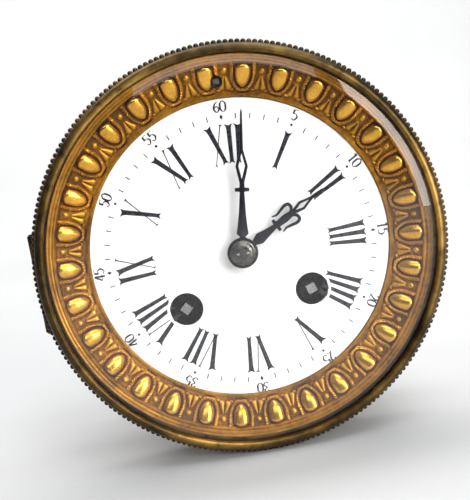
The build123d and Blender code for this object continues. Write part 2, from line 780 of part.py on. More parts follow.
def save_click(name, spot):
    """The pawl that faces the ratchet, standing just clear of its tips."""
    side = 1 if spot[0] > 0 else -1
    pivot = click_pivot(spot)
    nose = polar(RATCHET_RADIUS + 0.15, -60 + 24 if side > 0 else -120 - 24, spot)
    with BuildPart() as click:
        with BuildSketch(across(RATCHET_Y + RATCHET_THICK)):
            with Locations(pivot):
                Circle(2.2)
            with BuildLine():
                Polyline(
                    (pivot[0] + side * 2.0, pivot[1] + 0.2),
                    (nose[0] + side * 1.2, nose[1] + 0.6),
                    (nose[0] + side * 0.3, nose[1] + 0.2),
                    (pivot[0] + side * 0.2, pivot[1] + 1.6),
                    close=True,
                )
            make_face()
            with Locations(pivot):
                Circle(CLICK_STUD_RADIUS + RUNNING_FIT, mode=Mode.SUBTRACT)
        extrude(amount=RATCHET_THICK)
    save(click, name)


save_click("going_click", GOING_BARREL)
save_click("strike_click", STRIKE_BARREL)

save_pinion(
    "second_arbor",
    SECOND,
    GREAT_LEAVES,
    GREAT_MODULE,
    second_leaf_phase,
    *leaf_span(GREAT_WHEEL_Y, GREAT_WHEEL_THICK),
    ARBOR_RADIUS,
)
save_wheel(
    "second_wheel",
    SECOND,
    SECOND_TEETH,
    SECOND_MODULE,
    second_phase,
    SECOND_WHEEL_Y,
    SECOND_WHEEL_Y + WHEEL_THICK,
    ARBOR_RADIUS,
)

with BuildPart() as centre_arbor:
    add(
        stepped(
            CENTRE,
            (
                (HAND_PIN_Y - 0.6, INNER_FRONT + SHOULDER_GAP, CENTRE_ARBOR_RADIUS),
                (INNER_FRONT + SHOULDER_GAP, BACK_PLATE_Y - SHOULDER_GAP, CENTRE_ARBOR_RADIUS + 0.2),
                (BACK_PLATE_Y - SHOULDER_GAP, BACK_FACE, PIVOT_RADIUS),
            ),
        )
    )
    add(toothed(CENTRE, CENTRE_LEAVES, SECOND_MODULE, centre_leaf_phase, 27.1, 29.5, LEAF_TOOTH))
    with BuildSketch(Plane.YZ.offset(-3)):
        with Locations((HAND_PIN_Y, 0)):
            Circle(HAND_PIN_RADIUS)
    extrude(amount=6, mode=Mode.SUBTRACT)
save(centre_arbor, "centre_arbor")
save_wheel(
    "centre_wheel",
    CENTRE,
    CENTRE_TEETH,
    CENTRE_MODULE,
    centre_phase,
    CENTRE_WHEEL_Y,
    CENTRE_WHEEL_Y + WHEEL_THICK,
    CENTRE_ARBOR_RADIUS + 0.2,
)
save_pinion(
    "third_arbor",
    THIRD,
    THIRD_LEAVES,
    CENTRE_MODULE,
    third_leaf_phase,
    CENTRE_WHEEL_Y - 0.35,
    CENTRE_WHEEL_Y + WHEEL_THICK + LEAF_OVERLAP,
    FINE_ARBOR_RADIUS,
)
save_wheel(
    "third_wheel",
    THIRD,
    THIRD_TEETH,
    THIRD_MODULE,
    third_phase,
    THIRD_WHEEL_Y,
    THIRD_WHEEL_Y + WHEEL_THICK,
    FINE_ARBOR_RADIUS,
)
save_pinion(
    "escape_arbor",
    ESCAPE,
    ESCAPE_LEAVES,
    THIRD_MODULE,
    escape_leaf_phase,
    *leaf_span(THIRD_WHEEL_Y),
    SLIM_ARBOR_RADIUS,
)

with BuildPart() as escape_wheel:
    saw = []
    for tooth in range(ESCAPE_TEETH):
        degrees = 360 * tooth / ESCAPE_TEETH
        saw.append(polar(ESCAPE_RADIUS - 1.1, degrees - 4.5, ESCAPE))
        saw.append(polar(ESCAPE_RADIUS, degrees - 0.6, ESCAPE))
        saw.append(polar(ESCAPE_RADIUS, degrees + 0.3, ESCAPE))
        saw.append(polar(ESCAPE_RADIUS - 1.1, degrees + 1.0, ESCAPE))
    with BuildSketch(across(ESCAPE_WHEEL_Y + 0.8)):
        with BuildLine():
            Polyline(*saw, close=True)
        make_face()
    extrude(amount=0.8)
    add(
        windows(ESCAPE, 2.0, ESCAPE_RADIUS - 2.0, 0.8, ESCAPE_WHEEL_Y - 1, ESCAPE_WHEEL_Y + 2),
        mode=Mode.SUBTRACT,
    )
    with BuildSketch(across(ESCAPE_WHEEL_Y + 1)):
        with Locations(ESCAPE):
            Circle(SLIM_ARBOR_RADIUS)
    extrude(amount=2, mode=Mode.SUBTRACT)
save(escape_wheel, "escape_wheel")

# The anchor's pallets stand outside the tip circle by PALLET_GAP, so either may turn alone.
PALLET_GAP = 0.55
PALLET_ANGLE = 42
COCK_STANDOFF = 3.6
COCK_FRONT = BACK_FACE + COCK_STANDOFF
COCK_THICK = 1.6
with BuildPart() as anchor:
    pallet_right = polar(ESCAPE_RADIUS + PALLET_GAP, 90 - PALLET_ANGLE, ESCAPE)
    pallet_left = (-pallet_right[0], pallet_right[1])
    with BuildSketch(across(ESCAPE_WHEEL_Y + 1.4)):
        with Locations(ANCHOR):
            Circle(2.2)
        with BuildLine():
            Polyline(
                (0, ANCHOR[1] + 1.8),
                (pallet_right[0] + 1.6, pallet_right[1] + 3.2),
                (pallet_right[0] + 1.7, pallet_right[1] + 0.3),
                pallet_right,
                (pallet_right[0] + 0.2, pallet_right[1] + 2.2),
                (0, ANCHOR[1] - 2.0),
                (pallet_left[0] - 0.2, pallet_left[1] + 2.2),
                pallet_left,
                (pallet_left[0] - 1.7, pallet_left[1] + 0.3),
                (pallet_left[0] - 1.6, pallet_left[1] + 3.2),
                close=True,
            )
        make_face()
    extrude(amount=2.0)
    add(
        stepped(
            ANCHOR,
            (
                (FRONT_PLATE_Y, INNER_FRONT + 1, PIVOT_RADIUS),
                (INNER_FRONT + SHOULDER_GAP, COCK_FRONT - 0.2, FINE_ARBOR_RADIUS),
                (COCK_FRONT - 0.3, COCK_FRONT + COCK_THICK, PIVOT_RADIUS),
            ),
        )
    )
save(anchor, "anchor")

CRUTCH_Y = BACK_FACE + 0.6
CRUTCH_FOOT_Z = 6.0
with BuildPart() as crutch:
    with BuildSketch(across(CRUTCH_Y + 1.2)):
        with Locations(ANCHOR):
            Circle(2.4)
        with Locations((0, (ANCHOR[1] + CRUTCH_FOOT_Z) / 2)):
            Rectangle(1.2, ANCHOR[1] - CRUTCH_FOOT_Z)
        with Locations((0, CRUTCH_FOOT_Z)):
            Circle(1.6)
        with Locations(ANCHOR):
            Circle(FINE_ARBOR_RADIUS, mode=Mode.SUBTRACT)
    extrude(amount=1.2)
    with BuildSketch(across(CRUTCH_Y + 9)):
        with Locations((0, CRUTCH_FOOT_Z)):
            Circle(0.7)
    extrude(amount=8.5)
save(crutch, "crutch")


# ---------------------------------------------------------------- motion work under the dial
CANNON_Y = 4.2
HOUR_WHEEL_Y = 2.2
cannon_phase = 0.0
minute_phase = mesh_phase(CENTRE, CANNON_TEETH, cannon_phase, MINUTE_STUD, MINUTE_TEETH)
minute_leaf_phase = 0.0
hour_phase = mesh_phase(MINUTE_STUD, MINUTE_LEAVES, minute_leaf_phase, CENTRE, HOUR_TEETH)

with BuildPart() as cannon_pinion:
    add(toothed(CENTRE, CANNON_TEETH, CANNON_MODULE, cannon_phase, CANNON_Y, CANNON_Y + 1.3, LEAF_TOOTH))
    add(stepped(CENTRE, ((MINUTE_HAND_Y + HAND_THICK, CANNON_Y + 1.3, CANNON_PIPE_RADIUS),)))
    with BuildSketch(across(FRONT_PLATE_Y)):
        Circle(CENTRE_ARBOR_RADIUS)
    extrude(amount=FRONT_PLATE_Y - MINUTE_HAND_Y, mode=Mode.SUBTRACT)
save(cannon_pinion, "cannon_pinion")

with BuildPart() as minute_wheel:
    add(toothed(MINUTE_STUD, MINUTE_TEETH, CANNON_MODULE, minute_phase, CANNON_Y, CANNON_Y + 0.8))
    add(toothed(MINUTE_STUD, MINUTE_LEAVES, HOUR_MODULE, minute_leaf_phase, 1.6, CANNON_Y, LEAF_TOOTH))
    with BuildSketch(across(FRONT_PLATE_Y)):
        with Locations(MINUTE_STUD):
            Circle(CLICK_STUD_RADIUS + RUNNING_FIT)
    extrude(amount=8, mode=Mode.SUBTRACT)
save(minute_wheel, "minute_wheel")

with BuildPart() as hour_wheel:
    add(toothed(CENTRE, HOUR_TEETH, HOUR_MODULE, hour_phase, HOUR_WHEEL_Y, HOUR_WHEEL_Y + 1.0))
    add(stepped(CENTRE, ((HOUR_HAND_Y, HOUR_WHEEL_Y + 1.0, HOUR_PIPE_RADIUS),)))
    with BuildSketch(across(FRONT_PLATE_Y)):
        Circle(CANNON_PIPE_RADIUS + RUNNING_FIT)
    extrude(amount=FRONT_PLATE_Y - HOUR_HAND_Y + 1, mode=Mode.SUBTRACT)
save(hour_wheel, "hour_wheel")


# ---------------------------------------------------------------- strike train
strike_leaf_phase = mesh_phase(STRIKE_BARREL, GREAT_TEETH, great_phase, STRIKE_SECOND, GREAT_LEAVES)
strike_phase = 0.0
pin_leaf_phase = mesh_phase(STRIKE_SECOND, PIN_SECOND_TEETH, strike_phase, PIN, PIN_LEAVES)
pin_phase = 0.0
locking_leaf_phase = mesh_phase(PIN, PIN_TEETH, pin_phase, LOCKING, LOCKING_LEAVES)
locking_phase = 0.0
warning_leaf_phase = mesh_phase(LOCKING, LOCKING_TEETH, locking_phase, WARNING, WARNING_LEAVES)
warning_phase = 0.0
fly_leaf_phase = mesh_phase(WARNING, WARNING_TEETH, warning_phase, FLY, FLY_LEAVES)
count_leaf_phase = 0.0
count_phase = mesh_phase(STRIKE_SECOND, COUNT_LEAVES, count_leaf_phase, COUNT, COUNT_TEETH)
COUNT_Y = BACK_FACE + 1.4

with BuildPart() as strike_second_arbor:
    shaft = (
        (FRONT_PLATE_Y, INNER_FRONT + 1, PIVOT_RADIUS),
        (INNER_FRONT + SHOULDER_GAP, COUNT_Y + 0.9, ARBOR_RADIUS),
    )
    add(stepped(STRIKE_SECOND, shaft))
    front, rear = leaf_span(GREAT_WHEEL_Y, GREAT_WHEEL_THICK)
    add(toothed(STRIKE_SECOND, GREAT_LEAVES, GREAT_MODULE, strike_leaf_phase, front, rear, LEAF_TOOTH))
    add(
        toothed(
            STRIKE_SECOND,
            COUNT_LEAVES,
            COUNT_MODULE,
            count_leaf_phase,
            COUNT_Y,
            COUNT_Y + 0.9,
            LEAF_TOOTH,
        )
    )
save(strike_second_arbor, "strike_second_arbor")
save_wheel(
    "strike_second_wheel",
    STRIKE_SECOND,
    PIN_SECOND_TEETH,
    PIN_MODULE,
    strike_phase,
    SECOND_WHEEL_Y,
    SECOND_WHEEL_Y + WHEEL_THICK,
    ARBOR_RADIUS,
)


def save_strike_mobile(name, spot, leaves, leaf_module, leaf_phase, span, teeth, module, phase, wheel_y):
    """A strike arbor, its pinion and its brass wheel as two solids in one node."""
    rim = teeth * module / 2 - WHEEL_TOOTH[1] * module - 1.0
    back = wheel_y + WHEEL_THICK
    with BuildPart() as arbor:
        add(stepped(spot, ((FRONT_PLATE_Y, BACK_FACE, PIVOT_RADIUS),)))
        add(stepped(spot, ((INNER_FRONT + SHOULDER_GAP, BACK_PLATE_Y - SHOULDER_GAP, SLIM_ARBOR_RADIUS),)))
        add(toothed(spot, leaves, leaf_module, leaf_phase, *span, LEAF_TOOTH))
        add(toothed(spot, teeth, module, phase, wheel_y, back))
        add(windows(spot, 1.9, rim, 0.9, wheel_y - 0.1, back + 0.1), mode=Mode.SUBTRACT)
    save(arbor, name)


PIN_COUNT = 10
PIN_CIRCLE = 6.6
save_strike_mobile(
    "locking_wheel",
    LOCKING,
    LOCKING_LEAVES,
    PIN_MODULE,
    locking_leaf_phase,
    leaf_span(PIN_WHEEL_Y),
    LOCKING_TEETH,
    LOCKING_MODULE,
    locking_phase,
    LOCKING_WHEEL_Y,
)
save_strike_mobile(
    "warning_wheel",
    WARNING,
    WARNING_LEAVES,
    LOCKING_MODULE,
    warning_leaf_phase,
    leaf_span(LOCKING_WHEEL_Y),
    WARNING_TEETH,
    WARNING_MODULE,
    warning_phase,
    WARNING_WHEEL_Y,
)

with BuildPart() as pin_wheel:
    add(stepped(PIN, ((FRONT_PLATE_Y, BACK_FACE, PIVOT_RADIUS),)))
    add(stepped(PIN, ((INNER_FRONT + SHOULDER_GAP, BACK_PLATE_Y - SHOULDER_GAP, FINE_ARBOR_RADIUS),)))
    front, rear = leaf_span(SECOND_WHEEL_Y)
    add(toothed(PIN, PIN_LEAVES, PIN_MODULE, pin_leaf_phase, front, rear, LEAF_TOOTH))
    add(toothed(PIN, PIN_TEETH, PIN_MODULE, pin_phase, PIN_WHEEL_Y, PIN_WHEEL_Y + WHEEL_THICK))
    with BuildSketch(across(PIN_WHEEL_Y + WHEEL_THICK + 2.5)):
        with Locations(PIN):
            with PolarLocations(PIN_CIRCLE, PIN_COUNT):
                Circle(0.45)
    extrude(amount=2.6)
save(pin_wheel, "pin_wheel")

FLY_REACH = 5.0
FLY_FRONT = 10.0
FLY_REAR = 22.0
with BuildPart() as fly:
    add(stepped(FLY, ((FRONT_PLATE_Y, BACK_FACE, PIVOT_RADIUS),)))
    add(stepped(FLY, ((INNER_FRONT + SHOULDER_GAP, BACK_PLATE_Y - SHOULDER_GAP, SLIM_ARBOR_RADIUS),)))
    front, rear = leaf_span(WARNING_WHEEL_Y)
    add(toothed(FLY, FLY_LEAVES, WARNING_MODULE, fly_leaf_phase, front, rear, LEAF_TOOTH))
    with BuildSketch(across(FLY_REAR)):
        with Locations(FLY):
            Rectangle(2 * FLY_REACH, 0.35, rotation=30)
            Circle(1.2)
    extrude(amount=FLY_REAR - FLY_FRONT)
save(fly, "fly")

# The notched count wheel behind the back plate: one notch for each strike of the clock
COUNT_STEPS = (1, 2, 3, 4, 5, 6, 7, 8, 9, 10, 11, 12)
COUNT_DISC_THICK = 0.8
COUNT_GEAR_THICK = 0.9
COUNT_STACK = COUNT_GEAR_THICK + COUNT_DISC_THICK
with BuildPart() as count_wheel:
    add(toothed(COUNT, COUNT_TEETH, COUNT_MODULE, count_phase, COUNT_Y, COUNT_Y + COUNT_GEAR_THICK))
    with BuildSketch(across(COUNT_Y + COUNT_STACK)):
        with Locations(COUNT):
            Circle(COUNT_RADIUS)
        blows_per_turn = sum(COUNT_STEPS) + len(COUNT_STEPS)
        blows = 0
        for hour in COUNT_STEPS:
            blows += hour + 1
            notch = polar(COUNT_RADIUS, 360 * blows / blows_per_turn, COUNT)
            with Locations(notch):
                Circle(0.7, mode=Mode.SUBTRACT)
    extrude(amount=COUNT_DISC_THICK)
    with BuildSketch(across(COUNT_Y + 2)):
        with Locations(COUNT):
            Circle(CLICK_STUD_RADIUS + RUNNING_FIT)
    extrude(amount=3, mode=Mode.SUBTRACT)
save(count_wheel, "count_wheel")

# Shouldered studs for the minute wheel, the two clicks and the count wheel
with BuildPart() as studs:
    for spot, front in (
        (MINUTE_STUD, 1.2),
        (click_pivot(GOING_BARREL), RATCHET_Y),
        (click_pivot(STRIKE_BARREL), RATCHET_Y),
    ):
        head = (front - 0.7, front - 0.1, CLICK_STUD_RADIUS + 0.6)
        add(stepped(spot, (head, (front - 0.1, INNER_FRONT, CLICK_STUD_RADIUS))))
    count_head = COUNT_Y + COUNT_STACK + 0.3
    shank = (BACK_PLATE_Y, count_head, CLICK_STUD_RADIUS)
    add(stepped(COUNT, (shank, (count_head, count_head + 0.6, CLICK_STUD_RADIUS + 0.8))))
save(studs, "studs")

HAMMER_Y = BELL_MOUTH_Y + 3.0
head_spot = (-BELL_RADIUS - HAMMER_GAP - HAMMER_HEAD_RADIUS, BELL_Z + 2.0)
with BuildPart() as hammer:
    add(stepped(HAMMER, ((FRONT_PLATE_Y, INNER_FRONT + 1, PIVOT_RADIUS),)))
    add(stepped(HAMMER, ((INNER_FRONT + SHOULDER_GAP, HAMMER_Y + 1.4, HAMMER_ARBOR_RADIUS),)))
    # the stem hangs from the arbor to the head, outside the bell's rim
    with BuildSketch(across(HAMMER_Y + 1.2)):
        with BuildLine():
            Polyline(
                (HAMMER[0] - 0.8, HAMMER[1]),
                (head_spot[0] - 0.6, head_spot[1]),
                (head_spot[0] + 0.6, head_spot[1]),
                (HAMMER[0] + 0.8, HAMMER[1]),
                close=True,
            )
        make_face()
        with Locations(HAMMER):
            Circle(2.0)
    extrude(amount=1.2)
    with BuildSketch(across(HAMMER_Y + 2.6)):
        with Locations(head_spot):
            Circle(HAMMER_HEAD_RADIUS)
    extrude(amount=4.0)
    # the tail ends clear of the lifting pins
    to_pin = (PIN[0] - HAMMER[0], PIN[1] - HAMMER[1])
    reach = 1 - (PIN_CIRCLE + 0.9) / hypot(*to_pin)
    with BuildSketch(across(PIN_WHEEL_Y + WHEEL_THICK + 2.2)):
        with Locations((HAMMER[0] + to_pin[0] * reach / 2, HAMMER[1] + to_pin[1] * reach / 2)):
            Rectangle(
                hypot(*to_pin) * reach,
                1.0,
                rotation=atan2(to_pin[1], to_pin[0]) * 180 / pi,
            )
        with Locations(HAMMER):
            Circle(1.6)
    extrude(amount=1.2)
save(hammer, "hammer")

with BuildPart() as lifting_lever:
    arm_front = CANNON_Y + 0.95
    add(stepped(LEVER, ((arm_front, COUNT_Y + 2.7, LEVER_ARBOR_RADIUS),)))
    # front arm under the minute wheel, ending beside the cannon pinion
    with BuildSketch(across(FRONT_PLATE_Y - 0.2)):
        with BuildLine():
            Polyline(
                (LEVER[0] - 1.2, LEVER[1] - 0.4),
                (-13.2, 4.6),
                (-4.6, 1.4),
                (-4.6, 2.6),
                (-11.8, 6.0),
                (LEVER[0] + 1.2, LEVER[1] + 0.4),
                close=True,
            )
        make_face()
        with Locations(LEVER):
            Circle(1.8)
    extrude(amount=FRONT_PLATE_Y - 0.2 - arm_front)
    # locking arm, just clear of the locking wheel
    locking_tip = polar(LOCKING_TEETH * LOCKING_MODULE / 2 + 0.9, 105, LOCKING)
    with BuildSketch(across(LOCKING_WHEEL_Y + 1.2)):
        with BuildLine():
            Polyline(
                (LEVER[0] - 0.8, LEVER[1]),
                (locking_tip[0] - 0.5, locking_tip[1]),
                (locking_tip[0] + 0.5, locking_tip[1] + 0.3),
                (LEVER[0] + 0.8, LEVER[1]),
                close=True,
            )
        make_face()
        with Locations(LEVER):
            Circle(1.5)
    extrude(amount=1.2)
    # rear feeler that drops into the count wheel's notches
    feeler_tip = (COUNT[0], COUNT[1] + COUNT_RADIUS + 0.4)
    with BuildSketch(across(COUNT_Y + 1.7)):
        with BuildLine():
            Polyline(
                (LEVER[0] - 0.8, LEVER[1]),
                (feeler_tip[0] - 0.6, feeler_tip[1]),
                (feeler_tip[0] + 0.6, feeler_tip[1]),
                (LEVER[0] + 0.8, LEVER[1]),
                close=True,
            )
        make_face()
        with Locations(LEVER):
            Circle(1.5)
    extrude(amount=0.8)
save(lifting_lever, "lifting_lever")


# ---------------------------------------------------------------- plates and pillars
fine_pivots = (SECOND, THIRD, ESCAPE, ANCHOR, STRIKE_SECOND, PIN, LOCKING, WARNING, FLY, HAMMER)
bracket_screws = [polar(BRACKET_SCREW_CIRCLE, angle) for angle in BRACKET_ANGLES]

with BuildPart() as front_plate:
    with BuildSketch(across(INNER_FRONT)):
        Circle(PLATE_RADIUS)
        with Locations(*fine_pivots):
            Circle(PIVOT_RADIUS + RUNNING_FIT, mode=Mode.SUBTRACT)
        Circle(CENTRE_ARBOR_RADIUS + RUNNING_FIT, mode=Mode.SUBTRACT)
        with Locations(GOING_BARREL, STRIKE_BARREL):
            Circle(BARREL_ARBOR_RADIUS + RUNNING_FIT, mode=Mode.SUBTRACT)
        with Locations(LEVER):
            Circle(LEVER_ARBOR_RADIUS + RUNNING_FIT, mode=Mode.SUBTRACT)
        with Locations(*PILLAR_SPOTS):
            Circle(PILLAR_TENON_RADIUS, mode=Mode.SUBTRACT)
        with Locations(*dial_feet):
            Circle(DIAL_FOOT_RADIUS, mode=Mode.SUBTRACT)
        with Locations(MINUTE_STUD, click_pivot(GOING_BARREL), click_pivot(STRIKE_BARREL)):
            Circle(CLICK_STUD_RADIUS, mode=Mode.SUBTRACT)
        with Locations(*bracket_screws):
            Circle(SCREW_RADIUS, mode=Mode.SUBTRACT)
    extrude(amount=PLATE_THICK)
save(front_plate, "front_plate")

BELL_POST = (12.0, -18.0)
BELL_POST_RADIUS = 2.0
COCK_FOOT_Z = 36.0
COCK_FEET = ((-12.0, COCK_FOOT_Z), (12.0, COCK_FOOT_Z))
COCK_FOOT_RADIUS = 2.2
COCK_RIM = 0.4
COCK_HALF_WIDTH = 15.0
COCK_WAIST = 5.0
COCK_WAIST_Z = 44.0
COCK_NECK = 4.0
with BuildPart() as back_plate:
    with BuildSketch(across(BACK_FACE)):
        Circle(PLATE_RADIUS)
        with Locations(*(spot for spot in fine_pivots if spot not in (ANCHOR, STRIKE_SECOND, HAMMER))):
            Circle(PIVOT_RADIUS + RUNNING_FIT, mode=Mode.SUBTRACT)
        Circle(PIVOT_RADIUS + RUNNING_FIT, mode=Mode.SUBTRACT)
        with Locations(ANCHOR):
            Circle(3.0, mode=Mode.SUBTRACT)
        with Locations(STRIKE_SECOND):
            Circle(ARBOR_RADIUS + RUNNING_FIT, mode=Mode.SUBTRACT)
        with Locations(HAMMER):
            Circle(HAMMER_ARBOR_RADIUS + RUNNING_FIT, mode=Mode.SUBTRACT)
        with Locations(LEVER):
            Circle(LEVER_ARBOR_RADIUS + RUNNING_FIT, mode=Mode.SUBTRACT)
        with Locations(GOING_BARREL, STRIKE_BARREL):
            Circle(WINDING_REAR_RADIUS + RUNNING_FIT, mode=Mode.SUBTRACT)
        with Locations(*PILLAR_SPOTS):
            Circle(PILLAR_TENON_RADIUS, mode=Mode.SUBTRACT)
        with Locations(COUNT):
            Circle(CLICK_STUD_RADIUS, mode=Mode.SUBTRACT)
    extrude(amount=PLATE_THICK)
save(back_plate, "back_plate")

PILLAR_TENON_FRONT = FRONT_PLATE_Y - 1.8
with BuildPart() as pillars:
    for spot in PILLAR_SPOTS:
        with BuildSketch(across(BACK_PLATE_Y)):
            with Locations(spot):
                Circle(PILLAR_RADIUS)
        extrude(amount=PLATE_SPACING)
        with BuildSketch(across(BACK_FACE)):
            with Locations(spot):
                Circle(PILLAR_TENON_RADIUS)
        extrude(amount=BACK_FACE - PILLAR_TENON_FRONT)
        with BuildSketch(Plane.YZ.offset(spot[0] - 3)):
            with Locations((FRONT_PLATE_Y - PILLAR_PIN_GAP, spot[1])):
                Circle(TAPER_PIN_RADIUS)
        extrude(amount=6, mode=Mode.SUBTRACT)
save(pillars, "pillars")

# Cross pins through the pillar tenons and the dial feet
with BuildPart() as taper_pins:
    for spot in PILLAR_SPOTS:
        with BuildSketch(Plane.YZ.offset(spot[0] - PILLAR_PIN_LENGTH / 2)):
            with Locations((FRONT_PLATE_Y - PILLAR_PIN_GAP, spot[1])):
                Circle(TAPER_PIN_RADIUS)
        extrude(amount=PILLAR_PIN_LENGTH)
    for spot in dial_feet:
        with BuildSketch(Plane.YZ.offset(spot[0] - FOOT_PIN_LENGTH / 2)):
            with Locations((PIN_Y, spot[1])):
                Circle(TAPER_PIN_RADIUS)
        extrude(amount=FOOT_PIN_LENGTH)
save(taper_pins, "taper_pins")

with BuildPart() as movement_brackets:
    for angle in BRACKET_ANGLES:
        middle = polar((PLATE_RADIUS - 8 + SPIGOT_BORE + 1) / 2, angle)
        with BuildSketch(across(FRONT_PLATE_Y)):
            with Locations(middle):
                Rectangle(SPIGOT_BORE + 1 - PLATE_RADIUS + 8, BRACKET_WIDTH, rotation=angle)
            Circle(SPIGOT_BORE, mode=Mode.INTERSECT)
            with Locations(polar(BRACKET_SCREW_CIRCLE, angle)):
                Circle(SCREW_RADIUS, mode=Mode.SUBTRACT)
        extrude(amount=BRACKET_THICK)
    # the cock that carries the front end of the regulating arbor
    with BuildSketch(across(FRONT_PLATE_Y)):
        with BuildLine():
            Polyline(
                (-REGULATOR_COCK_FOOT, BRACKET_SCREW_CIRCLE),
                (REGULATOR_COCK_FOOT, BRACKET_SCREW_CIRCLE),
                (REGULATOR_COCK_TOP, REGULATOR_RADIUS + REGULATOR_COCK_TOP),
                (-REGULATOR_COCK_TOP, REGULATOR_RADIUS + REGULATOR_COCK_TOP),
                close=True,
            )
        make_face()
        Circle(SPIGOT_BORE - 0.2, mode=Mode.INTERSECT)
        with Locations(REGULATOR):
            Circle(REGULATOR_ARBOR_RADIUS + RUNNING_FIT, mode=Mode.SUBTRACT)
    extrude(amount=REGULATOR_COCK_THICK)
save(movement_brackets, "movement_brackets")

STRAP_X = SPIGOT_BORE - 0.3
with BuildPart() as case_straps:
    for side in (-1, 1):
        with BuildSketch(Plane.XY.offset(-STRAP_WIDTH / 2)):
            with BuildLine():
                Polyline(
                    (side * STRAP_X, STRAP_START),
                    (side * STRAP_X, STRAP_END),
                    (side * (STRAP_X - STRAP_FOOT_LENGTH), STRAP_END),
                    (side * (STRAP_X - STRAP_FOOT_LENGTH), STRAP_END - STRAP_THICK),
                    (side * (STRAP_X - STRAP_THICK), STRAP_END - STRAP_THICK),
                    (side * (STRAP_X - STRAP_THICK), STRAP_START),
                    close=True,
                )
            make_face()
        extrude(amount=STRAP_WIDTH)
    with BuildSketch(across(STRAP_END + 1)):
        with Locations((-STRAP_HOLE_X, 0), (STRAP_HOLE_X, 0)):
            Circle(STRAP_HOLE_RADIUS)
    extrude(amount=4, mode=Mode.SUBTRACT)
    for side in (-1, 1):
        with BuildSketch(Plane.YZ.offset(side * STRAP_X - 3)):
            with Locations((STRAP_SCREW_Y, 0)):
                Circle(SCREW_RADIUS)
        extrude(amount=6, mode=Mode.SUBTRACT)
save(case_straps, "case_straps")

# Cheese-headed screws: three hold the brackets to the front plate, two hold the straps
with BuildPart() as frame_screws:
    for spot in bracket_screws:
        with BuildSketch(across(INNER_FRONT)):
            with Locations(spot):
                Circle(SCREW_RADIUS)
        extrude(amount=INNER_FRONT - FRONT_PLATE_Y + BRACKET_THICK)
        with BuildSketch(across(FRONT_PLATE_Y - BRACKET_THICK)):
            with Locations(spot):
                Circle(SCREW_HEAD_RADIUS)
                Rectangle(SCREW_RADIUS * 4, SCREW_SLOT_WIDTH, mode=Mode.SUBTRACT)
        extrude(amount=SCREW_HEAD_THICK)
    for side in (-1, 1):
        inner_end = side * (STRAP_X - STRAP_THICK - STRAP_SCREW_HEAD)
        outer_end = side * (SPIGOT_RADIUS - STRAP_SCREW_INSET)
        with BuildSketch(Plane.YZ.offset(min(inner_end, outer_end))):
            with Locations((STRAP_SCREW_Y, 0)):
                Circle(SCREW_RADIUS)
        extrude(amount=abs(outer_end - inner_end))
        with BuildSketch(Plane.YZ.offset(min(inner_end, inner_end + side * STRAP_SCREW_HEAD))):
            with Locations((STRAP_SCREW_Y, 0)):
                Circle(SCREW_HEAD_RADIUS)
        extrude(amount=STRAP_SCREW_HEAD)
save(frame_screws, "frame_screws")


# ---------------------------------------------------------------- suspension and regulator
COCK_BACK = COCK_FRONT + COCK_THICK
SHELF_THICK = 1.6
leaf_radius = REGULATOR_LEAVES * CROWN_MODULE / 2
crown_radius = CROWN_TEETH * CROWN_MODULE / 2
crown_pitch_z = REGULATOR_RADIUS - leaf_radius
regulator_pinion_y = RATING_SCREW_Y - crown_radius
RATING_SCREW_FOOT_Z = 38.0
CROWN_TOOTH_WIDTH = 0.55
CROWN_TOOTH_LENGTH = 1.6
CROWN_TOOTH_HEIGHT = 1.6
CROWN_RIM_THICK = 1.0
CROWN_BASE_Z = crown_pitch_z - 1.1
SHELF_Z = CROWN_BASE_Z - CROWN_RIM_THICK - KNUCKLE_GAP - SHELF_THICK

with BuildPart() as suspension_cock:
    with BuildSketch(across(COCK_BACK)):
        with BuildLine():
            Polyline(
                (-COCK_HALF_WIDTH, COCK_FOOT_Z - COCK_FOOT_RADIUS - COCK_RIM),
                (COCK_HALF_WIDTH, COCK_FOOT_Z - COCK_FOOT_RADIUS - COCK_RIM),
                (COCK_HALF_WIDTH, COCK_FOOT_Z + COCK_FOOT_RADIUS + COCK_RIM),
                (COCK_WAIST, COCK_WAIST_Z),
                (COCK_NECK, REGULATOR_RADIUS + COCK_WAIST),
                (-COCK_NECK, REGULATOR_RADIUS + COCK_WAIST),
                (-COCK_WAIST, COCK_WAIST_Z),
                (-COCK_HALF_WIDTH, COCK_FOOT_Z + COCK_FOOT_RADIUS + COCK_RIM),
                close=True,
            )
        make_face()
        with Locations(ANCHOR):
            Circle(PIVOT_RADIUS + RUNNING_FIT, mode=Mode.SUBTRACT)
        with Locations(REGULATOR):
            Circle(REGULATOR_ARBOR_RADIUS + RUNNING_FIT, mode=Mode.SUBTRACT)
    extrude(amount=COCK_THICK)
    for spot in COCK_FEET:
        with BuildSketch(across(COCK_FRONT)):
            with Locations(spot):
                Circle(COCK_FOOT_RADIUS)
        extrude(amount=COCK_FRONT - BACK_FACE)
    with BuildSketch(Plane.XY.offset(SHELF_Z)):
        with Locations((0, (COCK_BACK + RATING_SCREW_Y + 4) / 2)):
            Rectangle(7, RATING_SCREW_Y + 4 - COCK_BACK)
        with Locations((0, RATING_SCREW_Y)):
            Circle(RATING_SCREW_RADIUS + RUNNING_FIT, mode=Mode.SUBTRACT)
    extrude(amount=SHELF_THICK)
save(suspension_cock, "suspension_cock")

with BuildPart() as regulating_arbor:
    square_back = REGULATOR_FRONT + REGULATOR_SQUARE_LENGTH
    add(stepped(REGULATOR, ((square_back, regulator_pinion_y + 1.3, REGULATOR_ARBOR_RADIUS),)))
    with BuildSketch(across(square_back)):
        with Locations(REGULATOR):
            Rectangle(REGULATOR_SQUARE, REGULATOR_SQUARE)
    extrude(amount=REGULATOR_SQUARE_LENGTH)
    add(
        toothed(
            REGULATOR,
            REGULATOR_LEAVES,
            CROWN_MODULE,
            radians(-90),
            regulator_pinion_y - 0.9,
            regulator_pinion_y + 1.3,
            (0.6, 1.0, 0.15, 0.10),
        )
    )
save(regulating_arbor, "regulating_arbor")

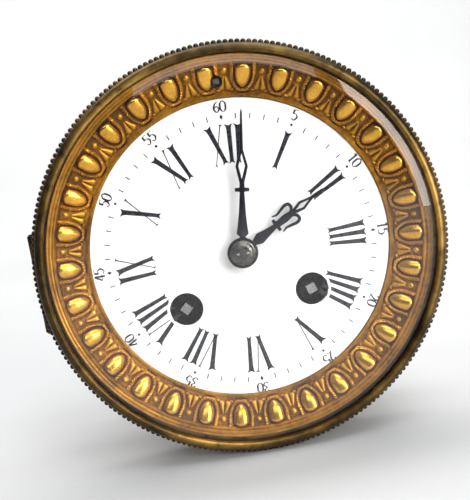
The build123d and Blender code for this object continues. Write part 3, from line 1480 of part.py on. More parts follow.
# Vertical screw with a crown wheel on top, its teeth pointing up into the pinion
with BuildPart() as rating_screw:
    with BuildSketch(Plane.XY.offset(CROWN_BASE_Z - CROWN_RIM_THICK)):
        with Locations((0, RATING_SCREW_Y)):
            Circle(crown_radius + CROWN_TOOTH_LENGTH / 2)
    extrude(amount=CROWN_RIM_THICK)
    with BuildSketch(Plane.XY.offset(CROWN_BASE_Z)):
        with Locations((0, RATING_SCREW_Y)):
            with PolarLocations(crown_radius, CROWN_TEETH, start_angle=90 + 180 / CROWN_TEETH):
                Rectangle(CROWN_TOOTH_LENGTH, CROWN_TOOTH_WIDTH)
    extrude(amount=CROWN_TOOTH_HEIGHT)
    with BuildSketch(Plane.XY.offset(RATING_SCREW_FOOT_Z)):
        with Locations((0, RATING_SCREW_Y)):
            Circle(RATING_SCREW_RADIUS)
    extrude(amount=CROWN_BASE_Z - RATING_SCREW_FOOT_Z)
save(rating_screw, "rating_screw")

CHOPS_GAP = 0.15
CHOPS_WIDTH = 6.0
CHOPS_HEIGHT = 3.6
CHOPS_DEPTH = RATING_SCREW_Y + 2.6 - COCK_BACK - CHOPS_GAP
with BuildPart() as suspension_slide:
    with BuildSketch(Plane.XY.offset(CHOPS_Z - 2)):
        with Locations((0, COCK_BACK + CHOPS_GAP + CHOPS_DEPTH / 2)):
            Rectangle(CHOPS_WIDTH, CHOPS_DEPTH)
        with Locations((0, RATING_SCREW_Y)):
            Circle(RATING_SCREW_RADIUS + RUNNING_FIT, mode=Mode.SUBTRACT)
    extrude(amount=CHOPS_HEIGHT)
save(suspension_slide, "suspension_slide")

# Twin spring strips between the slide and the lower chops, which carry the pendulum's hook pin
SPRING_Y = COCK_BACK + 1.9
SPRING_WIDTH = 1.6
SPRING_THICK = 0.15
LOWER_CHOPS_Z = 24.0
LOWER_CHOPS_SIZE = (5.4, 2.0)
HOOK_PIN_RADIUS = 0.7
HOOK_PIN_LENGTH = 9.0
with BuildPart() as suspension_spring:
    for x in (-SPRING_WIDTH, SPRING_WIDTH):
        with BuildSketch(Plane.XY.offset(LOWER_CHOPS_Z + 2)):
            with Locations((x, SPRING_Y)):
                Rectangle(SPRING_WIDTH, SPRING_THICK)
        extrude(amount=CHOPS_Z - 2 - LOWER_CHOPS_Z - 2)
    with BuildSketch(Plane.XY.offset(LOWER_CHOPS_Z - 2)):
        with Locations((0, SPRING_Y)):
            Rectangle(*LOWER_CHOPS_SIZE)
    extrude(amount=4)
    with BuildSketch(Plane.YZ.offset(-HOOK_PIN_LENGTH / 2)):
        with Locations((SPRING_Y, LOWER_CHOPS_Z)):
            Circle(HOOK_PIN_RADIUS)
    extrude(amount=HOOK_PIN_LENGTH)
save(suspension_spring, "suspension_spring")


# ---------------------------------------------------------------- bell
BELL_BACK = BELL_MOUTH_Y + BELL_DEPTH
BELL_BORE = 2.1
BELL_CURVE = 0.80
with BuildPart() as bell:
    axis_plane = Plane((0, 0, BELL_Z), x_dir=(1, 0, 0), z_dir=(0, 0, 1))
    inner = BELL_RADIUS - BELL_WALL
    with BuildSketch(axis_plane):
        with BuildLine():
            ThreePointArc(
                (BELL_RADIUS, BELL_MOUTH_Y),
                (BELL_RADIUS * BELL_CURVE, BELL_MOUTH_Y + BELL_DEPTH * BELL_SHOULDER),
                (BELL_BORE, BELL_BACK),
            )
            Line((BELL_BORE, BELL_BACK), (BELL_BORE, BELL_BACK - BELL_WALL))
            ThreePointArc(
                (BELL_BORE, BELL_BACK - BELL_WALL),
                (inner * BELL_CURVE, BELL_MOUTH_Y + (BELL_DEPTH - BELL_WALL) * BELL_SHOULDER),
                (inner, BELL_MOUTH_Y),
            )
            Line((inner, BELL_MOUTH_Y), (BELL_RADIUS, BELL_MOUTH_Y))
        make_face()
    revolve(axis=Axis((0, 0, BELL_Z), (0, 1, 0)))
save(bell, "bell")

BELL_SEAT_Y = BELL_BACK - BELL_WALL
BELL_ARM_DEPTH = 5.0
BELL_ARM_FRONT = BELL_MOUTH_Y + BELL_ARM_DEPTH
BELL_ARM_THICK = 2.0
BELL_ARM_WIDTH = 3.6
BELL_ARM_END = 2.6
BELL_STUD_RADIUS = 3.2
BELL_NUT_THICK = 2.5
BELL_NUT_RADIUS = 4.0
with BuildPart() as bell_stand:
    add(stepped(BELL_POST, ((BACK_FACE, BELL_ARM_FRONT, BELL_POST_RADIUS),)))
    bell_spot = (0, BELL_Z)
    run = hypot(BELL_POST[0], BELL_POST[1] - BELL_Z)
    slope = atan2(BELL_POST[1] - BELL_Z, BELL_POST[0]) * 180 / pi
    with BuildSketch(across(BELL_ARM_FRONT + BELL_ARM_THICK)):
        with Locations((BELL_POST[0] / 2, (BELL_POST[1] + BELL_Z) / 2)):
            Rectangle(run, BELL_ARM_WIDTH, rotation=slope)
        with Locations(bell_spot, BELL_POST):
            Circle(BELL_ARM_END)
    extrude(amount=BELL_ARM_THICK)
    arm_middle = BELL_ARM_FRONT + BELL_ARM_THICK / 2
    collar = (arm_middle, BELL_SEAT_Y - KNUCKLE_GAP, BELL_STUD_RADIUS)
    add(stepped(bell_spot, (collar, (arm_middle, BELL_BACK + 3.4, BELL_BORE))))
save(bell_stand, "bell_stand")

with BuildPart() as bell_nut:
    with BuildSketch(across(BELL_BACK + BELL_NUT_THICK + 0.1)):
        with Locations((0, BELL_Z)):
            RegularPolygon(BELL_NUT_RADIUS, 6)
            Circle(BELL_BORE, mode=Mode.SUBTRACT)
    extrude(amount=BELL_NUT_THICK)
save(bell_nut, "bell_nut")
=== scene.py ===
"""Looks of a French round clock head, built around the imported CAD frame.

Sizes are in millimetres and are turned into metres where a mesh is made. X is right and Z is up
as the dial is read, and the front is towards -Y. Angles on the dial run clockwise from twelve.
"""

import json
import math

import bmesh
import bpy
import numpy as np
from mathutils import Matrix, Vector


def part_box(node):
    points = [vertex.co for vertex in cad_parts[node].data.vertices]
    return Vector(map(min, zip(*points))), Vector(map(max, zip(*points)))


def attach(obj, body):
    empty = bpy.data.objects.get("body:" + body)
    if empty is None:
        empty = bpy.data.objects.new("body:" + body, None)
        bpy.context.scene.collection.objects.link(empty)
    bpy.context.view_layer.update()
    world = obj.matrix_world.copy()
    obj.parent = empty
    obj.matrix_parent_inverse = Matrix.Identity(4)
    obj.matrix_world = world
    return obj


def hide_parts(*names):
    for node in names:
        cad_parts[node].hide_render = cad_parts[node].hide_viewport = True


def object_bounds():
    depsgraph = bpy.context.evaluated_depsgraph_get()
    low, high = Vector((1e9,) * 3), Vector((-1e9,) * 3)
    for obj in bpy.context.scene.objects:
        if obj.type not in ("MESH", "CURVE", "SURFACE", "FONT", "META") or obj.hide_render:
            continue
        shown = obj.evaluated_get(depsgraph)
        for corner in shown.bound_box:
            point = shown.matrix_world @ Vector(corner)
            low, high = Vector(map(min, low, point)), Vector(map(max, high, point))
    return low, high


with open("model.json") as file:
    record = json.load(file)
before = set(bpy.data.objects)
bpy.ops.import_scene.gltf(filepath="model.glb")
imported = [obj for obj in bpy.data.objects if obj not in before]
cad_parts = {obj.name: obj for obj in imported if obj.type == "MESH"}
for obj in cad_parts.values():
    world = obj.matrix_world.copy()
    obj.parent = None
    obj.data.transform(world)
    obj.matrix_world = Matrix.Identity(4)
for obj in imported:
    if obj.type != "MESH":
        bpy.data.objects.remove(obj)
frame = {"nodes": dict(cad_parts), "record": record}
cad_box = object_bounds()

MM = 0.001


def cad(node):
    """Lowest and highest corner of a CAD node in millimetres."""
    low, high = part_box(node)
    return np.array(low) / MM, np.array(high) / MM


# ------------------------------------------------------------------ sizes read from the frame
RING_LOW, RING_HIGH = cad("sight_ring")
RING_X = (RING_LOW[0] + RING_HIGH[0]) / 2
RING_Z = (RING_LOW[2] + RING_HIGH[2]) / 2
RING_OUTER = (RING_HIGH[0] - RING_LOW[0]) / 2
RING_FRONT = RING_LOW[1]
RING_BACK = RING_HIGH[1]
DIAL_FRONT = cad("dial")[0][1]
GLASS_LOW, GLASS_HIGH = cad("glass")
GLASS_RADIUS = GLASS_HIGH[0]
BEZEL_LOW, BEZEL_HIGH = cad("bezel")
BEAD_REACH = BEZEL_HIGH[0]
HINGE_PIN_LOW, HINGE_PIN_HIGH = cad("hinge_pin")
HINGE_X = (HINGE_PIN_LOW[0] + HINGE_PIN_HIGH[0]) / 2
HINGE_Y = (HINGE_PIN_LOW[1] + HINGE_PIN_HIGH[1]) / 2
MINUTE_FRONT = cad("minute_hand")[0][1]
HOUR_FRONT = cad("hour_hand")[0][1]
COLLET_LOW, COLLET_HIGH = cad("hand_collet")
REGULATOR_LOW, REGULATOR_HIGH = cad("regulating_arbor")
REGULATOR_X = (REGULATOR_LOW[0] + REGULATOR_HIGH[0]) / 2
REGULATOR_Z = (REGULATOR_LOW[2] + REGULATOR_HIGH[2]) / 2
GOING_LOW, GOING_HIGH = cad("going_winding_arbor")
WINDING_X = (GOING_LOW[0] + GOING_HIGH[0]) / 2
WINDING_Z = (GOING_LOW[2] + GOING_HIGH[2]) / 2

# ------------------------------------------------------------------ sizes chosen here
BEAD_COUNT = 228
BEAD_RADIUS = 0.85
BEZEL_WALL_RADIUS = BEAD_REACH - BEAD_RADIUS
BEZEL_BORE = 62.2
BEZEL_LIP = 60.8
BEAD_Y = -8.3
BEZEL_BACK = -2.6
BEVEL_WIDTH = 3.4
KNUCKLE_RADIUS = 1.28
KNUCKLE_BORE = 0.8
KNUCKLE_INNER_END = 6.3
KNUCKLE_OUTER_END = 15.6
KNUCKLE_RELIEF_Y = -5.4
KNUCKLE_LEAF_X = -62.1

EGG_COUNT = 30
EGG_PHASE = math.radians(-3.0)
RING_INNER = 47.5
RING_LOW_FRONT = DIAL_FRONT - 0.55
PATTERN_INNER = 49.3
PATTERN_OUTER = 57.2
COLUMNS_PER_EGG = 60
RING_ROWS = 84
REGULATOR_HOLE = 1.72

MINUTE_ANGLE = 8.0
HOUR_ANGLE = 60.5
HAND_THICK = 0.6
CENTRE_BORE = 1.22

TRACK_RADIUS = 42.45
NUMERAL_FOOT = 27.9
NUMERAL_TOP = 40.2
NUMERAL_BEND_RADIUS = 34.5
LETTER_WIDTH = {"I": 2.55, "V": 5.3, "X": 5.6}
MINUTE_DIGIT_RADIUS = 44.0
MINUTE_DIGIT_HEIGHT = 3.3
DIGIT_CELL = 0.62
PRINT_THICK = 0.04
PRINT_SINK = 0.02
WINDING_HOLE = 5.5
CENTRE_HOLE = 3.4


# ------------------------------------------------------------------ node-tree helpers
class Shader:
    """A small builder for one procedural material."""

    def __init__(self, name):
        self.material = bpy.data.materials.new(name)
        self.material.use_nodes = True
        self.tree = self.material.node_tree
        self.tree.nodes.clear()
        self.output = self.tree.nodes.new("ShaderNodeOutputMaterial")
        self.bsdf = self.tree.nodes.new("ShaderNodeBsdfPrincipled")
        self.link(self.bsdf.outputs["BSDF"], self.output.inputs["Surface"])

    def link(self, source, target):
        self.tree.links.new(source, target)

    def put(self, socket, value):
        """Links a socket to another, or sets its value."""
        if isinstance(value, bpy.types.NodeSocket):
            self.link(value, socket)
        elif isinstance(value, tuple) and len(value) == 3 and len(socket.default_value) == 4:
            socket.default_value = (*value, 1.0)
        else:
            socket.default_value = value

    def set(self, **values):
        """Sets Principled inputs by name, with underscores for spaces."""
        for key, value in values.items():
            self.put(self.bsdf.inputs[key.replace("_", " ")], value)
        return self

    def place(self):
        """Where a point is in the row frame at rest."""
        return self.tree.nodes.new("ShaderNodeTexCoord").outputs["Object"]

    def stretched(self, scale):
        node = self.tree.nodes.new("ShaderNodeMapping")
        node.inputs["Scale"].default_value = scale
        self.link(self.place(), node.inputs["Vector"])
        return node.outputs["Vector"]

    def noise(self, scale, detail=4.0, rough=0.55, vector=None):
        node = self.tree.nodes.new("ShaderNodeTexNoise")
        node.inputs["Scale"].default_value = scale
        node.inputs["Detail"].default_value = detail
        node.inputs["Roughness"].default_value = rough
        self.link(vector or self.place(), node.inputs["Vector"])
        return node.outputs["Fac"]

    def cells(self, scale, vector=None):
        node = self.tree.nodes.new("ShaderNodeTexVoronoi")
        node.inputs["Scale"].default_value = scale
        self.link(vector or self.place(), node.inputs["Vector"])
        return node.outputs["Distance"]

    def calc(self, operation, first, second=0.0, clamp=False):
        node = self.tree.nodes.new("ShaderNodeMath")
        node.operation = operation
        node.use_clamp = clamp
        self.put(node.inputs[0], first)
        self.put(node.inputs[1], second)
        return node.outputs[0]

    def span(self, value, low, high, to_low=0.0, to_high=1.0):
        node = self.tree.nodes.new("ShaderNodeMapRange")
        node.inputs["From Min"].default_value = low
        node.inputs["From Max"].default_value = high
        node.inputs["To Min"].default_value = to_low
        node.inputs["To Max"].default_value = to_high
        self.link(value, node.inputs["Value"])
        return node.outputs["Result"]

    def ramp(self, factor, *stops):
        node = self.tree.nodes.new("ShaderNodeValToRGB")
        band = node.color_ramp.elements
        while len(band) < len(stops):
            band.new(0.5)
        for element, (position, colour) in zip(band, stops):
            element.position = position
            element.color = (*colour, 1.0)
        self.link(factor, node.inputs["Fac"])
        return node.outputs["Color"]

    def mix(self, factor, first, second):
        node = self.tree.nodes.new("ShaderNodeMix")
        node.data_type = "RGBA"
        self.put(node.inputs["Factor"], factor)
        self.put(node.inputs[6], first)
        self.put(node.inputs[7], second)
        return node.outputs[2]

    def bump(self, height, strength, distance=0.0002):
        node = self.tree.nodes.new("ShaderNodeBump")
        node.inputs["Strength"].default_value = strength
        node.inputs["Distance"].default_value = distance
        self.link(height, node.inputs["Height"])
        self.link(node.outputs["Normal"], self.bsdf.inputs["Normal"])

    def attribute(self, name):
        node = self.tree.nodes.new("ShaderNodeAttribute")
        node.attribute_name = name
        return node.outputs["Fac"]

    def well(self):
        """How deep in one of the two winding holes a point lies, as a mask for painted shade: 1 in the dark,
        0 outside.
        """
        parts = self.tree.nodes.new("ShaderNodeSeparateXYZ")
        self.link(self.place(), parts.inputs["Vector"])
        across = self.calc("SUBTRACT", self.calc("ABSOLUTE", parts.outputs["X"]), WINDING_X * MM)
        up = self.calc("SUBTRACT", parts.outputs["Z"], WINDING_Z * MM)
        reach = self.calc("ADD", self.calc("MULTIPLY", across, across), self.calc("MULTIPLY", up, up))
        near = self.span(self.calc("SQRT", reach), 0.0085, 0.0070)
        behind = self.span(parts.outputs["Y"], -0.0014, -0.0009)
        front = self.span(parts.outputs["Y"], 0.0072, 0.0068)
        return self.calc("MULTIPLY", self.calc("MULTIPLY", near, behind), front)

    def radius(self):
        """Distance from the centre arbor, in metres."""
        parts = self.tree.nodes.new("ShaderNodeSeparateXYZ")
        self.link(self.place(), parts.inputs["Vector"])
        square_x = self.calc("MULTIPLY", parts.outputs["X"], parts.outputs["X"])
        square_z = self.calc("MULTIPLY", parts.outputs["Z"], parts.outputs["Z"])
        return self.calc("SQRT", self.calc("ADD", square_x, square_z))


# ------------------------------------------------------------------ materials
def gilt_brass():
    """Stamped gilt sheet: bright on high points, and dark in the recesses as painted shade together with
    brown lacquer and verdigris.
    """
    s = Shader("gilt_brass")
    cloud = s.noise(90.0, 6.0, 0.6)
    fine = s.noise(900.0, 3.0, 0.5)
    # The relief mark darkens the gilt in the recesses, partly as painted shade and partly as brown lacquer,
    # and leaves the high points bright as wear.
    wear_and_shade = s.calc("ADD", s.attribute("relief"), s.span(cloud, 0.3, 0.7, -0.16, 0.14))
    wear_and_shade = s.calc("ADD", wear_and_shade, s.span(fine, 0.3, 0.7, -0.06, 0.06), clamp=True)
    gold = s.ramp(
        wear_and_shade,
        (0.0, (0.030, 0.012, 0.003)),
        (0.28, (0.14, 0.055, 0.006)),
        (0.55, (0.50, 0.22, 0.020)),
        (1.0, (0.95, 0.51, 0.075)),
    )
    green = s.span(s.noise(38.0, 5.0, 0.65), 0.66, 0.74)
    recess = s.span(wear_and_shade, 0.15, 0.40, 1.0, 0.0)
    colour = s.mix(s.calc("MULTIPLY", green, recess), gold, (0.07, 0.12, 0.08))
    s.set(Base_Color=colour, Metallic=s.span(wear_and_shade, 0.05, 0.35, 0.55, 1.0))
    s.set(Roughness=s.span(wear_and_shade, 0.1, 0.8, 0.55, 0.24))
    s.bump(fine, 0.25, 0.00005)
    return s.material


def patinated_brass():
    """Old lacquered brass: dark olive brown, gone back to gold where hands wear the front lip."""
    s = Shader("patinated_brass")
    cloud = s.noise(26.0, 3.0, 0.5)
    streak = s.noise(260.0, 4.0, 0.6)
    lip = s.span(s.radius(), 0.0632, 0.0614)
    worn = s.calc("MULTIPLY", lip, s.span(cloud, 0.42, 0.68, 0.05, 0.7))
    worn = s.calc("MULTIPLY", worn, s.span(streak, 0.25, 0.55), clamp=True)
    base = s.ramp(
        s.calc("ADD", cloud, s.span(streak, 0.3, 0.7, -0.15, 0.15)),
        (0.25, (0.020, 0.014, 0.007)),
        (0.5, (0.060, 0.038, 0.014)),
        (0.75, (0.15, 0.085, 0.022)),
    )
    s.set(Base_Color=s.mix(worn, base, (0.78, 0.45, 0.11)), Metallic=0.92)
    s.set(Roughness=s.span(streak, 0.2, 0.8, 0.30, 0.52))
    s.bump(streak, 0.3, 0.00008)
    return s.material


def movement_brass():
    """Satin movement brass, grained by the file and dulled in clouds."""
    s = Shader("movement_brass")
    grain = s.noise(60.0, 3.0, 0.6, s.stretched((1.0, 1.0, 30.0)))
    cloud = s.noise(45.0, 5.0, 0.6)
    spots = s.span(s.noise(420.0, 2.0, 0.5), 0.66, 0.74)
    colour = s.ramp(
        s.calc("ADD", cloud, s.span(grain, 0.3, 0.7, -0.12, 0.12)),
        (0.2, (0.36, 0.22, 0.07)),
        (0.5, (0.62, 0.43, 0.16)),
        (0.8, (0.80, 0.60, 0.26)),
    )
    stained = s.mix(spots, colour, (0.17, 0.10, 0.035))
    # Parts seen deep in the winding holes are painted near black: painted shade.
    s.set(Base_Color=s.mix(s.well(), stained, (0.012, 0.008, 0.004)), Metallic=1.0)
    s.set(Roughness=s.span(cloud, 0.3, 0.7, 0.26, 0.42))
    s.bump(grain, 0.18, 0.00005)
    return s.material


def steel(name, dark, bright, rough, rust=0.5):
    """Turned and filed steel with fine scratches and a little rust staining."""
    s = Shader(name)
    scratch = s.noise(900.0, 3.0, 0.6, s.stretched((1.0, 0.15, 1.0)))
    cloud = s.noise(120.0, 5.0, 0.6)
    colour = s.ramp(cloud, (0.3, dark), (0.7, bright))
    stain = s.span(s.noise(240.0, 4.0, 0.6), 0.62, 0.74, 0.0, rust)
    stained = s.mix(stain, colour, (0.12, 0.065, 0.03))
    # Parts seen deep in the winding holes are painted near black: painted shade.
    s.set(Base_Color=s.mix(s.well(), stained, (0.008, 0.007, 0.006)), Metallic=1.0)
    s.set(Roughness=s.span(scratch, 0.3, 0.7, rough - 0.08, rough + 0.10))
    s.bump(scratch, 0.25, 0.00004)
    return s.material


def enamel():
    """Fired white enamel: a glassy, faintly uneven surface with specks and a hairline crack."""
    s = Shader("enamel")
    parts = s.tree.nodes.new("ShaderNodeSeparateXYZ")
    s.link(s.place(), parts.inputs["Vector"])
    swell = s.noise(28.0, 2.0, 0.5)
    speck = s.span(s.cells(330.0), 0.035, 0.06, 1.0, 0.0)
    sparse = s.span(s.noise(70.0, 2.0, 0.5), 0.60, 0.64)
    specks = s.calc("MULTIPLY", speck, sparse)
    # the crack runs down and left from the left winding hole
    wander = s.span(s.noise(160.0, 4.0, 0.6), 0.0, 1.0, -0.004, 0.004)
    line = s.calc("ADD", parts.outputs["Z"], s.calc("MULTIPLY", parts.outputs["X"], 0.55))
    line = s.calc("ABSOLUTE", s.calc("ADD", s.calc("ADD", line, 0.0295), wander))
    hair = s.span(line, 0.00005, 0.00016, 0.45, 0.0)
    left = s.span(parts.outputs["X"], -0.024, -0.026)
    low = s.span(parts.outputs["Z"], -0.010, -0.013)
    crack = s.calc("MULTIPLY", s.calc("MULTIPLY", hair, left), low)
    white = s.ramp(swell, (0.3, (0.83, 0.83, 0.84)), (0.7, (0.88, 0.88, 0.88)))
    marked = s.mix(s.calc("MAXIMUM", s.calc("MULTIPLY", specks, 0.6), crack), white, (0.16, 0.15, 0.14))
    s.set(Base_Color=marked, Roughness=s.span(swell, 0.3, 0.7, 0.10, 0.18), IOR=1.52)
    s.bump(swell, 0.12, 0.0004)
    return s.material


def ink():
    """Fired black numerals, a little uneven in tone."""
    s = Shader("ink")
    tone = s.noise(700.0, 4.0, 0.6)
    s.set(Base_Color=s.ramp(tone, (0.3, (0.004, 0.005, 0.010)), (0.8, (0.016, 0.018, 0.030))))
    s.set(Roughness=s.span(tone, 0.3, 0.7, 0.22, 0.38))
    return s.material


def clear_glass():
    """Clear glass that lets lamps through, with a greenish tint and a few fine scratches."""
    s = Shader("clear_glass")
    smear = s.noise(22.0, 5.0, 0.6)
    s.set(Base_Color=(0.985, 0.99, 0.985), Transmission_Weight=1.0, IOR=1.45)
    s.set(Roughness=s.span(smear, 0.55, 0.85, 0.0, 0.035))
    lamps = s.tree.nodes.new("ShaderNodeLightPath").outputs["Is Shadow Ray"]
    through = s.tree.nodes.new("ShaderNodeBsdfTransparent")
    through.inputs["Color"].default_value = (0.97, 0.97, 0.96, 1.0)
    either = s.tree.nodes.new("ShaderNodeMixShader")
    s.link(lamps, either.inputs["Fac"])
    s.link(s.bsdf.outputs["BSDF"], either.inputs[1])
    s.link(through.outputs["BSDF"], either.inputs[2])
    s.link(either.outputs["Shader"], s.output.inputs["Surface"])
    return s.material


def pale_ground():
    """Seamless studio paper."""
    s = Shader("pale_ground")
    tone = s.noise(6.0, 3.0, 0.5)
    s.set(Base_Color=s.ramp(tone, (0.3, (0.50, 0.50, 0.50)), (0.7, (0.53, 0.53, 0.53))))
    s.set(Roughness=0.9)
    return s.material


LOOKS = {
    "gilt_brass": gilt_brass(),
    "patinated_brass": patinated_brass(),
    "movement_brass": movement_brass(),
    "steel": steel("steel", (0.26, 0.26, 0.27), (0.56, 0.56, 0.57), 0.30),
    "blued_steel": steel("blued_steel", (0.012, 0.013, 0.018), (0.035, 0.037, 0.050), 0.34, 0.25),
    "spring_steel": steel("spring_steel", (0.16, 0.18, 0.24), (0.32, 0.34, 0.40), 0.26, 0.3),
    "enamel": enamel(),
    "copper": steel("copper", (0.42, 0.19, 0.10), (0.66, 0.34, 0.20), 0.36, 0.4),
    "clear_glass": clear_glass(),
    "bell_steel": steel("bell_steel", (0.20, 0.21, 0.24), (0.40, 0.41, 0.44), 0.24, 0.35),
}
INK = ink()
COLLET_STEEL = steel("collet_steel", (0.085, 0.080, 0.075), (0.19, 0.18, 0.17), 0.30, 0.2)

for part in frame["record"]["subparts"]:
    slots = frame["nodes"][part["node"]].data.materials
    slots.clear()
    slots.append(LOOKS[part["material_slot"]])
for darkened in ("regulating_arbor", "centre_arbor"):
    frame["nodes"][darkened].data.materials[0] = COLLET_STEEL


# ------------------------------------------------------------------ mesh helpers
def piece(name, points, faces, look, body, replaces=(), sharp=38):
    """A named mesh piece in the row frame from points in millimetres."""
    mesh = bpy.data.meshes.new(name)
    mesh.from_pydata((np.asarray(points, float) * MM).tolist(), [], faces)
    mesh.materials.append(look)
    mesh.validate()
    obj = bpy.data.objects.new(name, mesh)
    bpy.context.scene.collection.objects.link(obj)
    tidy = bmesh.new()
    tidy.from_mesh(mesh)
    bmesh.ops.recalc_face_normals(tidy, faces=tidy.faces)
    tidy.to_mesh(mesh)
    tidy.free()
    mesh.shade_smooth()
    mesh.set_sharp_from_angle(angle=math.radians(sharp))
    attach(obj, body)
    for node in replaces:
        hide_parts(node)
    return obj


def grid_faces(rows, columns, first=0, close_rows=True):
    """Quads over a grid of rows by columns, closed round the columns."""
    faces = []
    last = rows if close_rows else rows - 1
    for row in range(last):
        below = first + row * columns
        above = first + ((row + 1) % rows) * columns
        for column in range(columns):
            following = (column + 1) % columns
            faces.append((below + column, below + following, above + following, above + column))
    return faces


def lathe(profile, columns, centre=(0.0, 0.0), first=0):
    """A closed (radius, y) profile turned about a line along Y. Returns points and faces."""
    turn = np.arange(columns) * 2 * math.pi / columns
    points = []
    for radius, y in profile:
        x = centre[0] + radius * np.sin(turn)
        z = centre[1] + radius * np.cos(turn)
        points.append(np.stack([x, np.full(columns, y), z], 1))
    return np.concatenate(points), grid_faces(len(profile), columns, first)


def arc(centre, radius, start, end, steps):
    """Profile points on an arc, angles in degrees in the (radius, y) plane."""
    turns = np.radians(np.linspace(start, end, steps))
    return [(centre[0] + radius * math.cos(t), centre[1] + radius * math.sin(t)) for t in turns]


def on_dial(across, along, clockwise):
    """A point drawn as if at twelve, turned clockwise, as (x, z)."""
    turn = math.radians(clockwise)
    return (
        across * math.cos(turn) + along * math.sin(turn),
        -across * math.sin(turn) + along * math.cos(turn),
    )


def smooth_path(points, steps=8, closed=False):
    """A Catmull-Rom curve through points, as many more points."""
    spots = [np.array(p, float) for p in points]
    count = len(spots)
    out = []
    spans = count if closed else count - 1
    for i in range(spans):
        if closed:
            a, b, c, d = (spots[(i + k) % count] for k in (-1, 0, 1, 2))
        else:
            b, c = spots[i], spots[i + 1]
            a = spots[i - 1] if i else 2 * b - c
            d = spots[i + 2] if i + 2 < count else 2 * c - b
        for t in np.linspace(0, 1, steps, endpoint=False):
            straight = 2 * b + (c - a) * t
            squared = (2 * a - 5 * b + 4 * c - d) * t**2
            cubed = (3 * b - a - 3 * c + d) * t**3
            out.append(0.5 * (straight + squared + cubed))
    if not closed:
        out.append(spots[-1])
    return out


def prism_faces(first, count):
    """Faces of a prism whose points start at first, with count points on each of its two ends."""
    faces = [tuple(range(first, first + count))]
    faces.append(tuple(range(first + 2 * count - 1, first + count - 1, -1)))
    for i in range(count):
        j = (i + 1) % count
        faces.append((first + i, first + j, first + count + j, first + count + i))
    return faces


def prisms(outlines, front, back):
    """Flat closed outlines of (x, z), each made a thin solid from front to back."""
    points, faces = [], []
    for outline in outlines:
        first, count = len(points), len(outline)
        points += [(x, front, z) for x, z in outline]
        points += [(x, back, z) for x, z in outline]
        faces += prism_faces(first, count)
    return points, faces


def weld(obj):
    """Joins the points that coincide, and turns every face outwards."""
    mesh = bmesh.new()
    mesh.from_mesh(obj.data)
    bmesh.ops.remove_doubles(mesh, verts=mesh.verts, dist=1e-7)
    bmesh.ops.recalc_face_normals(mesh, faces=mesh.faces)
    mesh.to_mesh(obj.data)
    mesh.free()


# ------------------------------------------------------------------ egg-and-dart sight ring
def half_round(distance, half_width):
    """A round-topped ridge of height 1 across a distance from its centre line."""
    return np.sqrt(np.clip(1 - (distance / half_width) ** 2, 0, None))


def rope_height(side, radius):
    """The corded border that runs down one side of an egg, round its tip and up the other."""
    shoulder, tip, half = 54.4, 49.55, 3.42
    below = np.clip((shoulder - radius) / (shoulder - tip), 0, 1)
    reach = half * np.sqrt(np.clip(1 - below**2, 0, 1))
    lean = np.arctan2(below, reach / half)
    curved = np.hypot(side / half, np.clip(shoulder - radius, 0, None) / (shoulder - tip)) - 1
    stretch = np.where(radius < shoulder, half * np.cos(lean) + (shoulder - tip) * np.sin(lean), half)
    distance = curved * stretch
    along = np.where(
        radius < shoulder,
        4.3 * np.arctan2(side, np.clip(shoulder - radius, 1e-6, None)),
        4.2 * math.pi / 2 + (radius - shoulder),
    )
    strands = 0.5 + 0.5 * np.cos(2 * math.pi * (along / 0.86 + distance / 1.5))
    body = half_round(distance, 0.62)
    return body * (0.22 + 0.46 * strands), distance


def egg_height(side, radius):
    """A half egg, blunt at its outer end and pointed at its inner one."""
    shoulder, tip, top, half = 54.7, 50.35, 57.2, 2.5
    below = np.clip((shoulder - radius) / (shoulder - tip), 0, 1)
    above = np.clip((radius - 55.6) / (top - 55.6), 0, 1)
    width = half * (1 - below**2.1) ** 0.66 * np.sqrt(1 - above**2.4)
    taper = np.sqrt(1 - below**2) * np.sqrt(1 - 0.8 * above**2)
    dome = np.sqrt(np.clip(1 - (side / np.maximum(width, 1e-3)) ** 2, 0, 1))
    inside = (width > 0.02) & (radius > tip) & (radius < top)
    return np.where(inside, 1.5 * dome * taper, 0)


def leaf_height(beside, radius):
    """The two-lobed dart between eggs: beside is the distance from its centre line."""
    head, waist, foot = 54.0, 50.7, 49.75
    width = 0.35 + 0.50 * np.clip(head - radius, 0, head - waist)
    lobe = half_round(beside - 0.52 * width, 0.50 * width)
    closing = np.sqrt(np.clip(1 - (np.clip(waist - radius, 0, None) / (waist - foot)) ** 2, 0, 1))
    opening = np.clip((head - radius) / 0.5, 0, 1)
    return 0.58 * lobe * closing * opening


